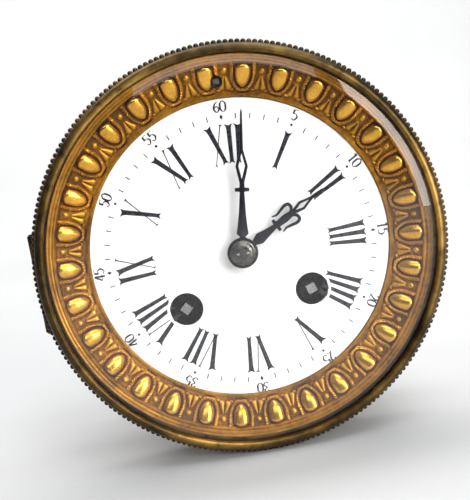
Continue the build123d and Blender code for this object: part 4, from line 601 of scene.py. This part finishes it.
def ring_relief():
    """Height of the stamped pattern over the ring's cone, for each row and column."""
    columns = EGG_COUNT * COLUMNS_PER_EGG
    turn = np.arange(columns) / columns * 2 * math.pi
    rows = np.linspace(RING_INNER, RING_OUTER - 0.12, RING_ROWS)
    angle, radius = np.meshgrid(turn, rows)
    pitch = 2 * math.pi / EGG_COUNT
    off_egg = (angle - EGG_PHASE + pitch / 2) % pitch - pitch / 2
    side = np.abs(off_egg) * radius
    beside = (pitch / 2 - np.abs(off_egg)) * radius

    rope, rope_distance = rope_height(side, radius)
    pattern = (radius > PATTERN_INNER) & (radius < PATTERN_OUTER)
    ground = np.where(rope_distance < 0, -0.24, -0.34)
    scallop = 49.35 - 0.55 * np.cos(off_egg / pitch * 2 * math.pi)
    lip = np.clip((scallop - radius) / 0.22 + 0.5, 0, 1)
    height = np.where(radius < PATTERN_OUTER, ground, 0.0)
    height = height * (1 - lip)
    boss = 0.72 * half_round(np.hypot(beside, radius - 55.35), 0.95)
    chevron = 0.30 * half_round(radius - 48.95 - 0.42 * beside, 0.24) * (beside < 2.5)
    for feature in (rope, egg_height(side, radius), boss - 0.3, leaf_height(beside, radius) - 0.2, chevron):
        height = np.where(pattern & (lip < 0.5), np.maximum(height, feature), height)
    rim = np.clip((radius - 57.15) / 0.12, 0, 1)
    reeds = sum(half_round(radius - centre, 0.52) for centre in (57.75, 58.75, 59.7))
    height = height * (1 - rim) + rim * 0.30 * reeds
    height = height - 0.25 * np.clip((RING_INNER + 0.35 - radius) / 0.35, 0, 1) ** 2
    return turn, rows, height


def ring_base(radius):
    """Depth of the ring's cone at a radius, before its pattern."""
    return np.interp(
        radius,
        [RING_INNER, 48.9, PATTERN_OUTER, 57.5, RING_OUTER],
        [RING_LOW_FRONT, RING_LOW_FRONT - 0.1, -6.15, -6.85, RING_FRONT + 0.32],
    )


def blurred(height, steps):
    """A box blur of the relief, round the columns and along the rows."""
    total = sum(np.roll(height, k, axis=1) for k in range(-steps, steps + 1)) / (2 * steps + 1)
    padded = np.pad(total, ((steps, steps), (0, 0)), mode="edge")
    return sum(padded[k : k + height.shape[0]] for k in range(2 * steps + 1)) / (2 * steps + 1)


def build_sight_ring():
    """The stamped sheet ring, with a lined hole and an eyelet for the regulating arbor."""
    turn, rows, height = ring_relief()
    columns = len(turn)
    height = 0.7 * height + 0.3 * blurred(height, 1)
    # The mark for the gilt: low in the recesses, where it stands for painted shade as well as lacquer, and
    # high on the raised points.
    relief = 0.38 + 0.95 * (height - blurred(height, 5)) + 0.34 * height
    rings, marks = [], []

    def add_ring(radius, y, mark):
        x = RING_X + radius * np.sin(turn)
        z = RING_Z + radius * np.cos(turn)
        rings.append(np.stack([x, np.broadcast_to(y, columns), z], 1))
        marks.append(np.broadcast_to(mark, columns))

    for row, radius in enumerate(rows):
        add_ring(radius, ring_base(radius) - height[row], relief[row])
    # The sheet's edge, its back and the lining take low marks, so the gilt is painted darker there: painted
    # shade.
    add_ring(RING_OUTER, RING_FRONT + 0.45, 0.4)
    for radius, y in ((RING_OUTER, RING_BACK), (RING_OUTER - 0.7, RING_BACK), (RING_OUTER - 0.7, -6.0)):
        add_ring(radius, y, 0.3)
    for radius in (57.0, *np.linspace(55.3, 50.8, 13), 49.0):
        add_ring(radius, ring_base(radius) + 0.75, 0.35)
    add_ring(RING_INNER, RING_LOW_FRONT + 0.5, 0.45)
    points = np.concatenate(rings)
    faces = []
    for quad in grid_faces(len(rings), columns):
        middle = points[list(quad)].mean(0)
        if math.hypot(middle[0] - REGULATOR_X, middle[2] - REGULATOR_Z) > REGULATOR_HOLE:
            faces.append(quad)
    ring = piece(
        "sight_ring_stamped", points, faces, LOOKS["gilt_brass"], "case_head", ["sight_ring"]
    )
    # the sheet's cut edges line the hole between its front and its back
    lining = bmesh.new()
    lining.from_mesh(ring.data)
    bmesh.ops.bridge_loops(lining, edges=[e for e in lining.edges if e.is_boundary])
    bmesh.ops.recalc_face_normals(lining, faces=lining.faces)
    lining.to_mesh(ring.data)
    lining.free()
    # The gilt reads this mark for painted shade and lacquer in the recesses, and for wear on the high
    # points.
    mark = ring.data.attributes.new("relief", "FLOAT", "POINT")
    mark.data.foreach_set("value", np.clip(np.concatenate(marks), 0, 1).astype(np.float32))
    # a plain eyelet lines the hole for the regulating arbor
    front = ring_base(REGULATOR_Z - RING_Z) - 0.45
    profile = [(1.62, front + 1.6), (1.62, front + 0.1), (1.72, front)]
    profile += [(1.92, front), (2.02, front + 0.12), (2.02, front + 1.6)]
    points, faces = lathe(profile, 40, (REGULATOR_X, REGULATOR_Z))
    piece("regulator_eyelet", points, faces, LOOKS["patinated_brass"], "case_head")


# ------------------------------------------------------------------ bezel, beads, hinge, glass
def build_bezel():
    """The door's rim as one turned shell, and its row of separate beads."""
    wall, front, back, bead_y = BEZEL_WALL_RADIUS, BEZEL_LOW[1], BEZEL_BACK, BEAD_Y
    profile = [(BEZEL_BORE, back), (wall - 0.15, back), (wall, back - 0.15), (wall, bead_y + 1.2)]
    profile += [(wall - 0.15, bead_y + 1.0), (wall - 0.45, bead_y + 0.8), (wall - 0.45, bead_y - 0.8)]
    profile += [(wall - 0.30, bead_y - 0.95)]
    shoulder = bead_y - 0.95 - front
    profile += arc((wall - 0.30 - shoulder, bead_y - 0.95), shoulder, 0, -90, 12)[1:]
    profile += [(BEZEL_LIP + 0.25, front + 0.16), (BEZEL_LIP, front + 0.45)]
    profile += [(BEZEL_LIP, -9.8), (BEZEL_BORE, -9.8)]
    columns = 720
    points, faces = lathe(profile, columns)
    # the back edge is cut away behind the fixed hinge knuckle
    beside = (points[:, 0] < 0) & (np.abs(points[:, 2]) < KNUCKLE_INNER_END)
    points[beside & (points[:, 1] > KNUCKLE_RELIEF_Y), 1] = KNUCKLE_RELIEF_Y
    piece("bezel_shell", points, faces, LOOKS["patinated_brass"], "door", ["bezel"])

    points, faces = [], []
    rounds, slices = 8, 12
    for bead in range(BEAD_COUNT):
        turn = 2 * math.pi * (bead + 0.5) / BEAD_COUNT
        centre = Vector((wall * math.sin(turn), bead_y, wall * math.cos(turn)))
        outward = Vector((math.sin(turn), 0, math.cos(turn)))
        along = Vector((math.cos(turn), 0, -math.sin(turn)))
        first = len(points)
        points.append(centre + outward * BEAD_RADIUS)
        for i in range(1, rounds):
            polar = math.pi * i / rounds
            for j in range(slices):
                swing = 2 * math.pi * j / slices
                flat = Vector((0, 1, 0)) * math.cos(swing) + along * math.sin(swing)
                points.append(centre + (outward * math.cos(polar) + flat * math.sin(polar)) * BEAD_RADIUS)
        points.append(centre - outward * BEAD_RADIUS)
        for j in range(slices):
            k = (j + 1) % slices
            faces.append((first, first + 1 + j, first + 1 + k))
            for i in range(rounds - 2):
                low = first + 1 + i * slices
                faces.append((low + j, low + slices + j, low + slices + k, low + k))
            low = first + 1 + (rounds - 2) * slices
            faces.append((low + k, low + j, first + 1 + (rounds - 1) * slices))
    piece("bezel_beads", points, faces, LOOKS["patinated_brass"], "door")


def build_door_knuckles():
    """The door's two hinge knuckles, each with a leaf that reaches the bezel's wall."""
    points, faces = [], []
    radius, bore, columns = KNUCKLE_RADIUS, KNUCKLE_BORE, 28
    spans = ((-KNUCKLE_OUTER_END, -KNUCKLE_INNER_END), (KNUCKLE_INNER_END, KNUCKLE_OUTER_END))
    for start, end in spans:
        profile = [(bore, start), (radius - 0.15, start), (radius, start + 0.15)]
        profile += [(radius, end - 0.15), (radius - 0.15, end), (bore, end)]
        turned, around = lathe(profile, columns, first=len(points))
        points += [(HINGE_X + x, HINGE_Y + z, y) for x, y, z in turned]
        faces += around
        first = len(points)
        outline = [(HINGE_X + 0.5, HINGE_Y - 1.15), (HINGE_X + 1.1, HINGE_Y - 0.05)]
        outline += [(KNUCKLE_LEAF_X, HINGE_Y - 0.05), (KNUCKLE_LEAF_X, HINGE_Y - 1.9)]
        for z in (start + 0.1, end - 0.1):
            points += [(x, y, z) for x, y in outline]
        faces += prism_faces(first, len(outline))
    piece("bezel_knuckles", points, faces, LOOKS["patinated_brass"], "door")


def build_glass():
    """The flat pane with its ground bevel."""
    back, front = GLASS_HIGH[1], GLASS_LOW[1]
    edge = back - 1.2
    inner = BEZEL_LIP - BEVEL_WIDTH
    profile = [(0.0, back), (30.0, back), (GLASS_RADIUS - 0.2, back), (GLASS_RADIUS, back - 0.2)]
    profile += [(GLASS_RADIUS, edge + 0.1), (GLASS_RADIUS - 0.1, edge), (BEZEL_LIP, edge)]
    profile += [(inner + 0.12, front + 0.03), (inner - 0.05, front), (30.0, front), (0.0, front)]
    columns = 256
    points = lathe(profile, columns)[0]
    faces = grid_faces(len(profile), columns, close_rows=False)
    # a low angle keeps the bevel's edges crisp, so its reflections stay off the flat
    weld(piece("glass_pane", points, faces, LOOKS["clear_glass"], "door", ["glass"], sharp=6))


# ------------------------------------------------------------------ hands
def plate(name, loops, clockwise, front, look, body, replaces=(), bevel=0.09):
    """A flat steel plate with eased edges: the first loop is its outline, the others are holes."""
    curve = bpy.data.curves.new(name + "_outline", "CURVE")
    curve.dimensions = "2D"
    curve.fill_mode = "BOTH"
    curve.extrude = (HAND_THICK / 2 - bevel) * MM
    curve.bevel_depth = bevel * MM
    curve.bevel_resolution = 2
    curve.offset = -bevel * MM
    for loop in loops:
        spline = curve.splines.new("POLY")
        spline.points.add(len(loop) - 1)
        spline.use_cyclic_u = True
        for spot, (across, along) in zip(spline.points, loop):
            x, z = on_dial(across, along, clockwise)
            spot.co = (x * MM, z * MM, 0, 1)
    holder = bpy.data.objects.new(name + "_outline", curve)
    bpy.context.scene.collection.objects.link(holder)
    evaluated = holder.evaluated_get(bpy.context.evaluated_depsgraph_get())
    mesh = bpy.data.meshes.new_from_object(evaluated)
    bpy.data.objects.remove(holder)
    points = [(v.co.x / MM, front + HAND_THICK / 2 - v.co.z / MM, v.co.y / MM) for v in mesh.vertices]
    faces = [tuple(p.vertices) for p in mesh.polygons]
    bpy.data.meshes.remove(mesh)
    made = piece(name, points, faces, look, body, replaces)
    weld(made)


def mirrored(half):
    """A half outline on the right, given from the boss outwards, closed down the left."""
    return half + [(-x, z) for x, z in reversed(half)]


def ring_loop(radius, steps=40):
    """A closed circle of points about the centre."""
    turns = np.linspace(0, 2 * math.pi, steps, endpoint=False)
    return [(radius * math.sin(t), radius * math.cos(t)) for t in turns]


def boss_outline(boss, neck):
    """The round boss from the left of the neck, round the back, to its right."""
    start = math.asin(neck / boss)
    turns = np.linspace(2 * math.pi - start, start, 48)
    return [(boss * math.sin(t), boss * math.cos(t)) for t in turns]


def build_minute_hand():
    """The pierced minute hand."""
    tip = 44.4
    half = [(0.82, 5.0), (1.88, 6.1), (1.55, 8.2), (1.1, 12.5), (0.74, 18.6), (0.74, 19.1), (2.25, 19.25)]
    half += [(2.25, 20.3), (0.8, 20.45), (0.75, 21.9), (1.25, 24.0), (1.92, 27.0), (1.1, 29.8), (0.5, 31.9)]
    half += [(0.42, 36.0), (0.30, 43.2), (0.10, tip)]
    outline = mirrored(half) + boss_outline(4.85, 0.82)[1:-1]
    lozenge = [(0.0, 23.0), (1.02, 27.0), (0.0, 30.9), (-1.02, 27.0)]
    loops = [outline, lozenge, ring_loop(CENTRE_BORE, 32)]
    plate("minute_hand_blade", loops, MINUTE_ANGLE, MINUTE_FRONT, LOOKS["blued_steel"], "minute_train",
          ["minute_hand"])


def build_hour_hand():
    """The pierced hour hand and its two scrolls."""
    tip = 32.4
    half = [(0.8, 4.6), (1.85, 6.9), (1.35, 9.5), (0.75, 13.1), (2.1, 13.2), (2.1, 14.1), (1.0, 14.3)]
    half += [(1.25, 17.0), (1.0, 19.2), (0.75, 20.5), (1.55, 23.7), (0.9, 25.8), (0.5, 27.6), (0.42, 30.0)]
    half += [(0.28, 31.6), (0.10, tip)]
    outline = mirrored(half) + boss_outline(4.55, 0.8)[1:-1]
    lozenge = [(0.0, 21.3), (0.75, 23.7), (0.0, 26.6), (-0.75, 23.7)]
    loops = [outline, lozenge, ring_loop(2.85, 40)]
    plate("hour_hand_blade", loops, HOUR_ANGLE, HOUR_FRONT, LOOKS["blued_steel"], "hour_train",
          ["hour_hand"])
    # two scrolls spring from the foot of the lozenge and curl back towards the centre
    for side, name in ((-1, "hour_hand_scroll_left"), (1, "hour_hand_scroll_right")):
        spine = [(0.3, 19.3), (1.5, 20.6), (2.9, 20.6), (3.35, 19.3), (2.9, 17.3), (2.55, 15.6), (3.0, 14.1)]
        path = smooth_path([(side * x, z) for x, z in spine], 6)
        loop = ribbon(path, [0.42, 0.50, 0.52, 0.50, 0.42, 0.32, 0.18])
        plate(name, [loop], HOUR_ANGLE, HOUR_FRONT, LOOKS["blued_steel"], "hour_train")


def ribbon(path, half_widths):
    """A closed outline round a path, with a half width that changes along it."""
    count = len(path)
    stations = np.linspace(0, 1, len(half_widths))
    left, right = [], []
    for i, spot in enumerate(path):
        ahead = path[min(i + 1, count - 1)] - path[max(i - 1, 0)]
        normal = np.array([-ahead[1], ahead[0]]) / max(np.hypot(*ahead), 1e-9)
        half = np.interp(i / (count - 1), stations, half_widths)
        left.append(tuple(spot + normal * half))
        right.append(tuple(spot - normal * half))
    return left + right[::-1]


def build_collet():
    """A turned dome that holds the minute hand, with a flat foot and a small flat top."""
    back, front, reach = COLLET_HIGH[1], COLLET_LOW[1], COLLET_HIGH[0]
    profile = [(CENTRE_BORE, back), (reach - 0.1, back), (reach, back - 0.1)]
    profile += [(reach, back - 0.25), (reach - 0.35, back - 0.36)]
    for lean in np.linspace(0.12, 1.0, 10):
        radius = 1.75 + (reach - 0.45 - 1.75) * math.cos(lean * math.pi / 2)
        profile.append((radius, back - 0.30 - (back - front - 0.32) * math.sin(lean * math.pi / 2)))
    profile += [(1.5, front + 0.02), (CENTRE_BORE, front + 0.16)]
    points, faces = lathe(profile, 96)
    piece("collet_dome", points, faces, COLLET_STEEL, "minute_train", ["hand_collet"])


# ------------------------------------------------------------------ dial print
def fanned(outline, clockwise, middle):
    """An outline of (across, radius) bent round the dial about its radius."""
    out = []
    for across, radius in outline:
        turn = math.radians(clockwise) + across / middle
        out.append((radius * math.sin(turn), radius * math.cos(turn)))
    return out


def fishtail(low, high, half):
    """A thick stroke from low to high (across, radius) with forked, flared ends."""
    ahead = np.subtract(high, low)
    length = np.hypot(*ahead)
    ahead = ahead / length
    normal = np.array([-ahead[1], ahead[0]])
    side = [(0.0, 1.72), (0.35, 1.5), (0.9, 1.12), (1.9, 1.0), (length - 1.9, 1.0), (length - 0.9, 1.12)]
    side += [(length - 0.35, 1.5), (length, 1.72)]
    left = [tuple(low + ahead * s + normal * half * w) for s, w in side]
    right = [tuple(low + ahead * s - normal * half * w) for s, w in reversed(side)]
    return left + [tuple(high - ahead * 0.55)] + right + [tuple(low + ahead * 0.55)]


def hairline(low, high, half=0.15):
    """A thin stroke with small wedge ends."""
    ahead = np.subtract(high, low)
    length = np.hypot(*ahead)
    ahead = ahead / length
    normal = np.array([-ahead[1], ahead[0]])
    side = [(0.0, 4.6), (0.30, 1.6), (0.9, 1.0), (length - 0.9, 1.0), (length - 0.30, 1.6), (length, 4.6)]
    left = [tuple(low + ahead * s + normal * half * w) for s, w in side]
    right = [tuple(low + ahead * s - normal * half * w) for s, w in reversed(side)]
    return left + right


def letter(which, left):
    """Strokes of a Roman letter whose cell starts at left, as outlines of (across, radius)."""
    foot, top = NUMERAL_FOOT, NUMERAL_TOP
    middle = left + LETTER_WIDTH[which] / 2
    if which == "I":
        return [fishtail((middle, foot), (middle, top), 0.66)]
    if which == "V":
        return [
            fishtail((middle + 0.35, foot), (middle - 1.75, top), 0.68),
            hairline((middle + 0.35, foot + 0.4), (middle + 2.05, top)),
        ]
    return [
        fishtail((middle + 1.75, foot), (middle - 1.75, top), 0.68),
        hairline((middle - 2.0, foot), (middle + 2.0, top)),
    ]


def build_hour_numerals():
    """The twelve Roman hours, each its own piece."""
    names = ("XII", "I", "II", "III", "IIII", "V", "VI", "VII", "VIII", "IX", "X", "XI")
    for hour, name in enumerate(names):
        width = sum(LETTER_WIDTH[c] for c in name)
        left = -width / 2
        outlines = []
        for c in name:
            outlines += letter(c, left)
            left += LETTER_WIDTH[c]
        bent = [fanned(o, hour * 30, NUMERAL_BEND_RADIUS) for o in outlines]
        points, faces = prisms(bent, DIAL_FRONT - PRINT_THICK, DIAL_FRONT + PRINT_SINK)
        piece("hour_numeral_%02d" % (hour or 12), points, faces, INK, "case_head")


# Pen paths of the digits in a cell DIGIT_CELL wide and 1 high
DIGITS = {
    "0": [
        [(0.30, 1.0), (0.08, 0.80), (0.04, 0.5), (0.08, 0.20), (0.30, 0.0),
         (0.52, 0.20), (0.56, 0.5), (0.52, 0.80), (0.30, 1.0)],
    ],
    "1": [
        [(0.12, 0.82), (0.30, 0.99)],
        [(0.32, 1.0), (0.32, 0.5), (0.32, 0.0)],
        [(0.14, 0.01), (0.50, 0.01)],
    ],
    "2": [
        [(0.10, 0.78), (0.28, 1.0), (0.52, 0.80), (0.38, 0.42), (0.06, 0.02)],
        [(0.06, 0.03), (0.32, 0.08), (0.56, 0.02)],
    ],
    "3": [
        [(0.10, 0.84), (0.30, 1.0), (0.50, 0.80), (0.26, 0.56), (0.54, 0.28), (0.30, 0.0), (0.06, 0.16)],
    ],
    "4": [
        [(0.40, 0.98), (0.20, 0.60), (0.02, 0.30)],
        [(0.02, 0.29), (0.58, 0.29)],
        [(0.42, 1.0), (0.42, 0.5), (0.42, 0.0)],
    ],
    "5": [
        [(0.50, 0.98), (0.14, 0.96)],
        [(0.13, 0.97), (0.11, 0.56)],
        [(0.11, 0.56), (0.34, 0.62), (0.55, 0.34), (0.32, 0.0), (0.07, 0.14)],
    ],
    "6": [
        [(0.46, 0.98), (0.20, 0.78), (0.05, 0.36), (0.28, 0.0), (0.54, 0.28), (0.32, 0.56), (0.10, 0.40)],
    ],
}


def pen_stroke(path):
    """A pen line that is thick where it runs up or down and thin where it runs across."""
    route = smooth_path(path, 6) if len(path) > 2 else [np.array(p, float) for p in path]
    widths = []
    for i in range(len(route)):
        ahead = route[min(i + 1, len(route) - 1)] - route[max(i - 1, 0)]
        upright = abs(ahead[1]) / max(np.hypot(*ahead), 1e-9)
        widths.append(0.028 + 0.062 * upright**2)
    return ribbon(route, widths)


def build_minute_numerals():
    """The five-minute figures outside the minute track."""
    height, radius = MINUTE_DIGIT_HEIGHT, MINUTE_DIGIT_RADIUS
    cell = DIGIT_CELL * height
    outlines = []
    for place in range(12):
        text = str(place * 5 or 60)
        left = -cell * len(text) / 2
        for digit in text:
            for path in DIGITS[digit]:
                scaled = [(left + across * height, radius + up * height) for across, up in pen_stroke(path)]
                outlines.append(fanned(scaled, place * 30, radius + height / 2))
            left += cell
    points, faces = prisms(outlines, DIAL_FRONT - PRINT_THICK, DIAL_FRONT + PRINT_SINK)
    piece("minute_numerals", points, faces, INK, "case_head")


def build_minute_track():
    """A diamond at each quarter, a dot at each other five minutes and a dash at each minute."""
    outlines = []
    for minute in range(60):
        clockwise = minute * 6
        if minute % 15 == 0:
            shape = [(0.0, -0.85), (0.52, 0.0), (0.0, 0.85), (-0.52, 0.0)]
        elif minute % 5 == 0:
            shape = ring_loop(0.42, 14)
        else:
            shape = [(-0.16, -0.85), (0.16, -0.85), (0.16, 0.85), (-0.16, 0.85)]
        outlines.append([on_dial(across, TRACK_RADIUS + along, clockwise) for across, along in shape])
    points, faces = prisms(outlines, DIAL_FRONT - PRINT_THICK, DIAL_FRONT + PRINT_SINK)
    piece("minute_track", points, faces, INK, "case_head")


def build_hole_rims():
    """The enamel swells into a soft lip round each hole."""
    for name, radius, x, z in (
        ("enamel_rim_right", WINDING_HOLE, WINDING_X, WINDING_Z),
        ("enamel_rim_left", WINDING_HOLE, -WINDING_X, WINDING_Z),
        ("enamel_rim_centre", CENTRE_HOLE, 0.0, 0.0),
    ):
        profile = [(radius - 0.01, DIAL_FRONT + 1.2), (radius - 0.22, DIAL_FRONT + 0.6)]
        profile += [(radius - 0.22, DIAL_FRONT + 0.1), (radius - 0.05, DIAL_FRONT - 0.10)]
        profile += [(radius + 0.25, DIAL_FRONT - 0.14), (radius + 0.65, DIAL_FRONT - 0.05)]
        profile += [(radius + 0.95, DIAL_FRONT + 0.02), (radius + 0.3, DIAL_FRONT + 0.5)]
        points, faces = lathe(profile, 72, (x, z))
        piece(name, points, faces, LOOKS["enamel"], "case_head")


# ------------------------------------------------------------------ stage, light and camera
def build_stage():
    """A pale floor that sweeps up into its own backdrop."""
    floor = cad_box[0].z
    profile = [(-1.6, floor), (0.5, floor)]
    for t in np.linspace(0, math.pi / 2, 14)[1:]:
        profile.append((0.5 + 0.5 * math.sin(t), floor + 0.5 * (1 - math.cos(t))))
    profile.append((1.0, floor + 2.0))
    points = [(x, y, z) for x in (-2.2, 2.2) for y, z in profile]
    count = len(profile)
    faces = [(i, i + 1, count + i + 1, count + i) for i in range(count - 1)]
    mesh = bpy.data.meshes.new("studio_sweep")
    mesh.from_pydata(points, [], faces)
    mesh.materials.append(pale_ground())
    mesh.shade_smooth()
    sweep = bpy.data.objects.new("studio_sweep", mesh)
    bpy.context.scene.collection.objects.link(sweep)


def area_light(name, where, aim, width, height, power, colour):
    data = bpy.data.lights.new(name, "AREA")
    data.shape = "RECTANGLE"
    data.size, data.size_y = width, height
    data.energy = power
    data.color = colour
    lamp = bpy.data.objects.new(name, data)
    lamp.location = where
    lamp.rotation_euler = (Vector(aim) - Vector(where)).to_track_quat("-Z", "Y").to_euler()
    bpy.context.scene.collection.objects.link(lamp)
    return lamp


def build_lights():
    world = bpy.data.worlds.new("studio")
    world.use_nodes = True
    backdrop = world.node_tree.nodes["Background"]
    backdrop.inputs["Color"].default_value = (0.80, 0.86, 0.95, 1.0)
    backdrop.inputs["Strength"].default_value = 0.12
    bpy.context.scene.world = world
    dial = (0.0, 0.0, 0.0)
    area_light("window", (0.50, -0.57, 0.10), dial, 0.26, 0.70, 5.6, (1.0, 0.985, 0.96))
    area_light("front_strip", (0.05, -0.60, 0.40), dial, 0.50, 0.20, 0.9, (1.0, 1.0, 1.0))
    area_light("overhead", (0.25, -0.30, 0.90), dial, 0.6, 0.45, 5.4, (0.96, 0.98, 1.0))
    area_light("backdrop_wash", (0.0, 0.25, 1.0), (0.0, 1.0, 0.1), 1.4, 0.4, 22.0, (1.0, 1.0, 1.0))


CAMERA_RISE = math.radians(8.95)
CAMERA_SWING = math.radians(-2.1)
CAMERA_ROLL = math.radians(9.0)
CAMERA_DISTANCE = 0.2285
CAMERA_LENS = 51.7
CAMERA_AIM = Vector((-0.00214, DIAL_FRONT * MM, 0.00068))


def build_camera():
    data = bpy.data.cameras.new("camera")
    data.sensor_width = 36.0
    data.lens = CAMERA_LENS
    data.clip_start = 0.01
    camera = bpy.data.objects.new("camera", data)
    bpy.context.scene.collection.objects.link(camera)
    back = Vector(
        (
            math.sin(CAMERA_SWING) * math.cos(CAMERA_RISE),
            -math.cos(CAMERA_SWING) * math.cos(CAMERA_RISE),
            math.sin(CAMERA_RISE),
        )
    )
    right = Vector((0, 0, 1)).cross(back).normalized()
    up = back.cross(right)
    rolled_right = right * math.cos(CAMERA_ROLL) - up * math.sin(CAMERA_ROLL)
    rolled_up = right * math.sin(CAMERA_ROLL) + up * math.cos(CAMERA_ROLL)
    turn = Matrix((rolled_right, rolled_up, back)).transposed()
    camera.matrix_world = Matrix.Translation(CAMERA_AIM + back * CAMERA_DISTANCE) @ turn.to_4x4()
    bpy.context.scene.camera = camera


build_camera()
build_stage()
build_lights()
build_sight_ring()
build_bezel()
build_door_knuckles()
build_glass()
build_minute_hand()
build_hour_hand()
build_collet()
build_hour_numerals()
build_minute_numerals()
build_minute_track()
build_hole_rims()
bpy.context.scene.view_settings.view_transform = "Standard"
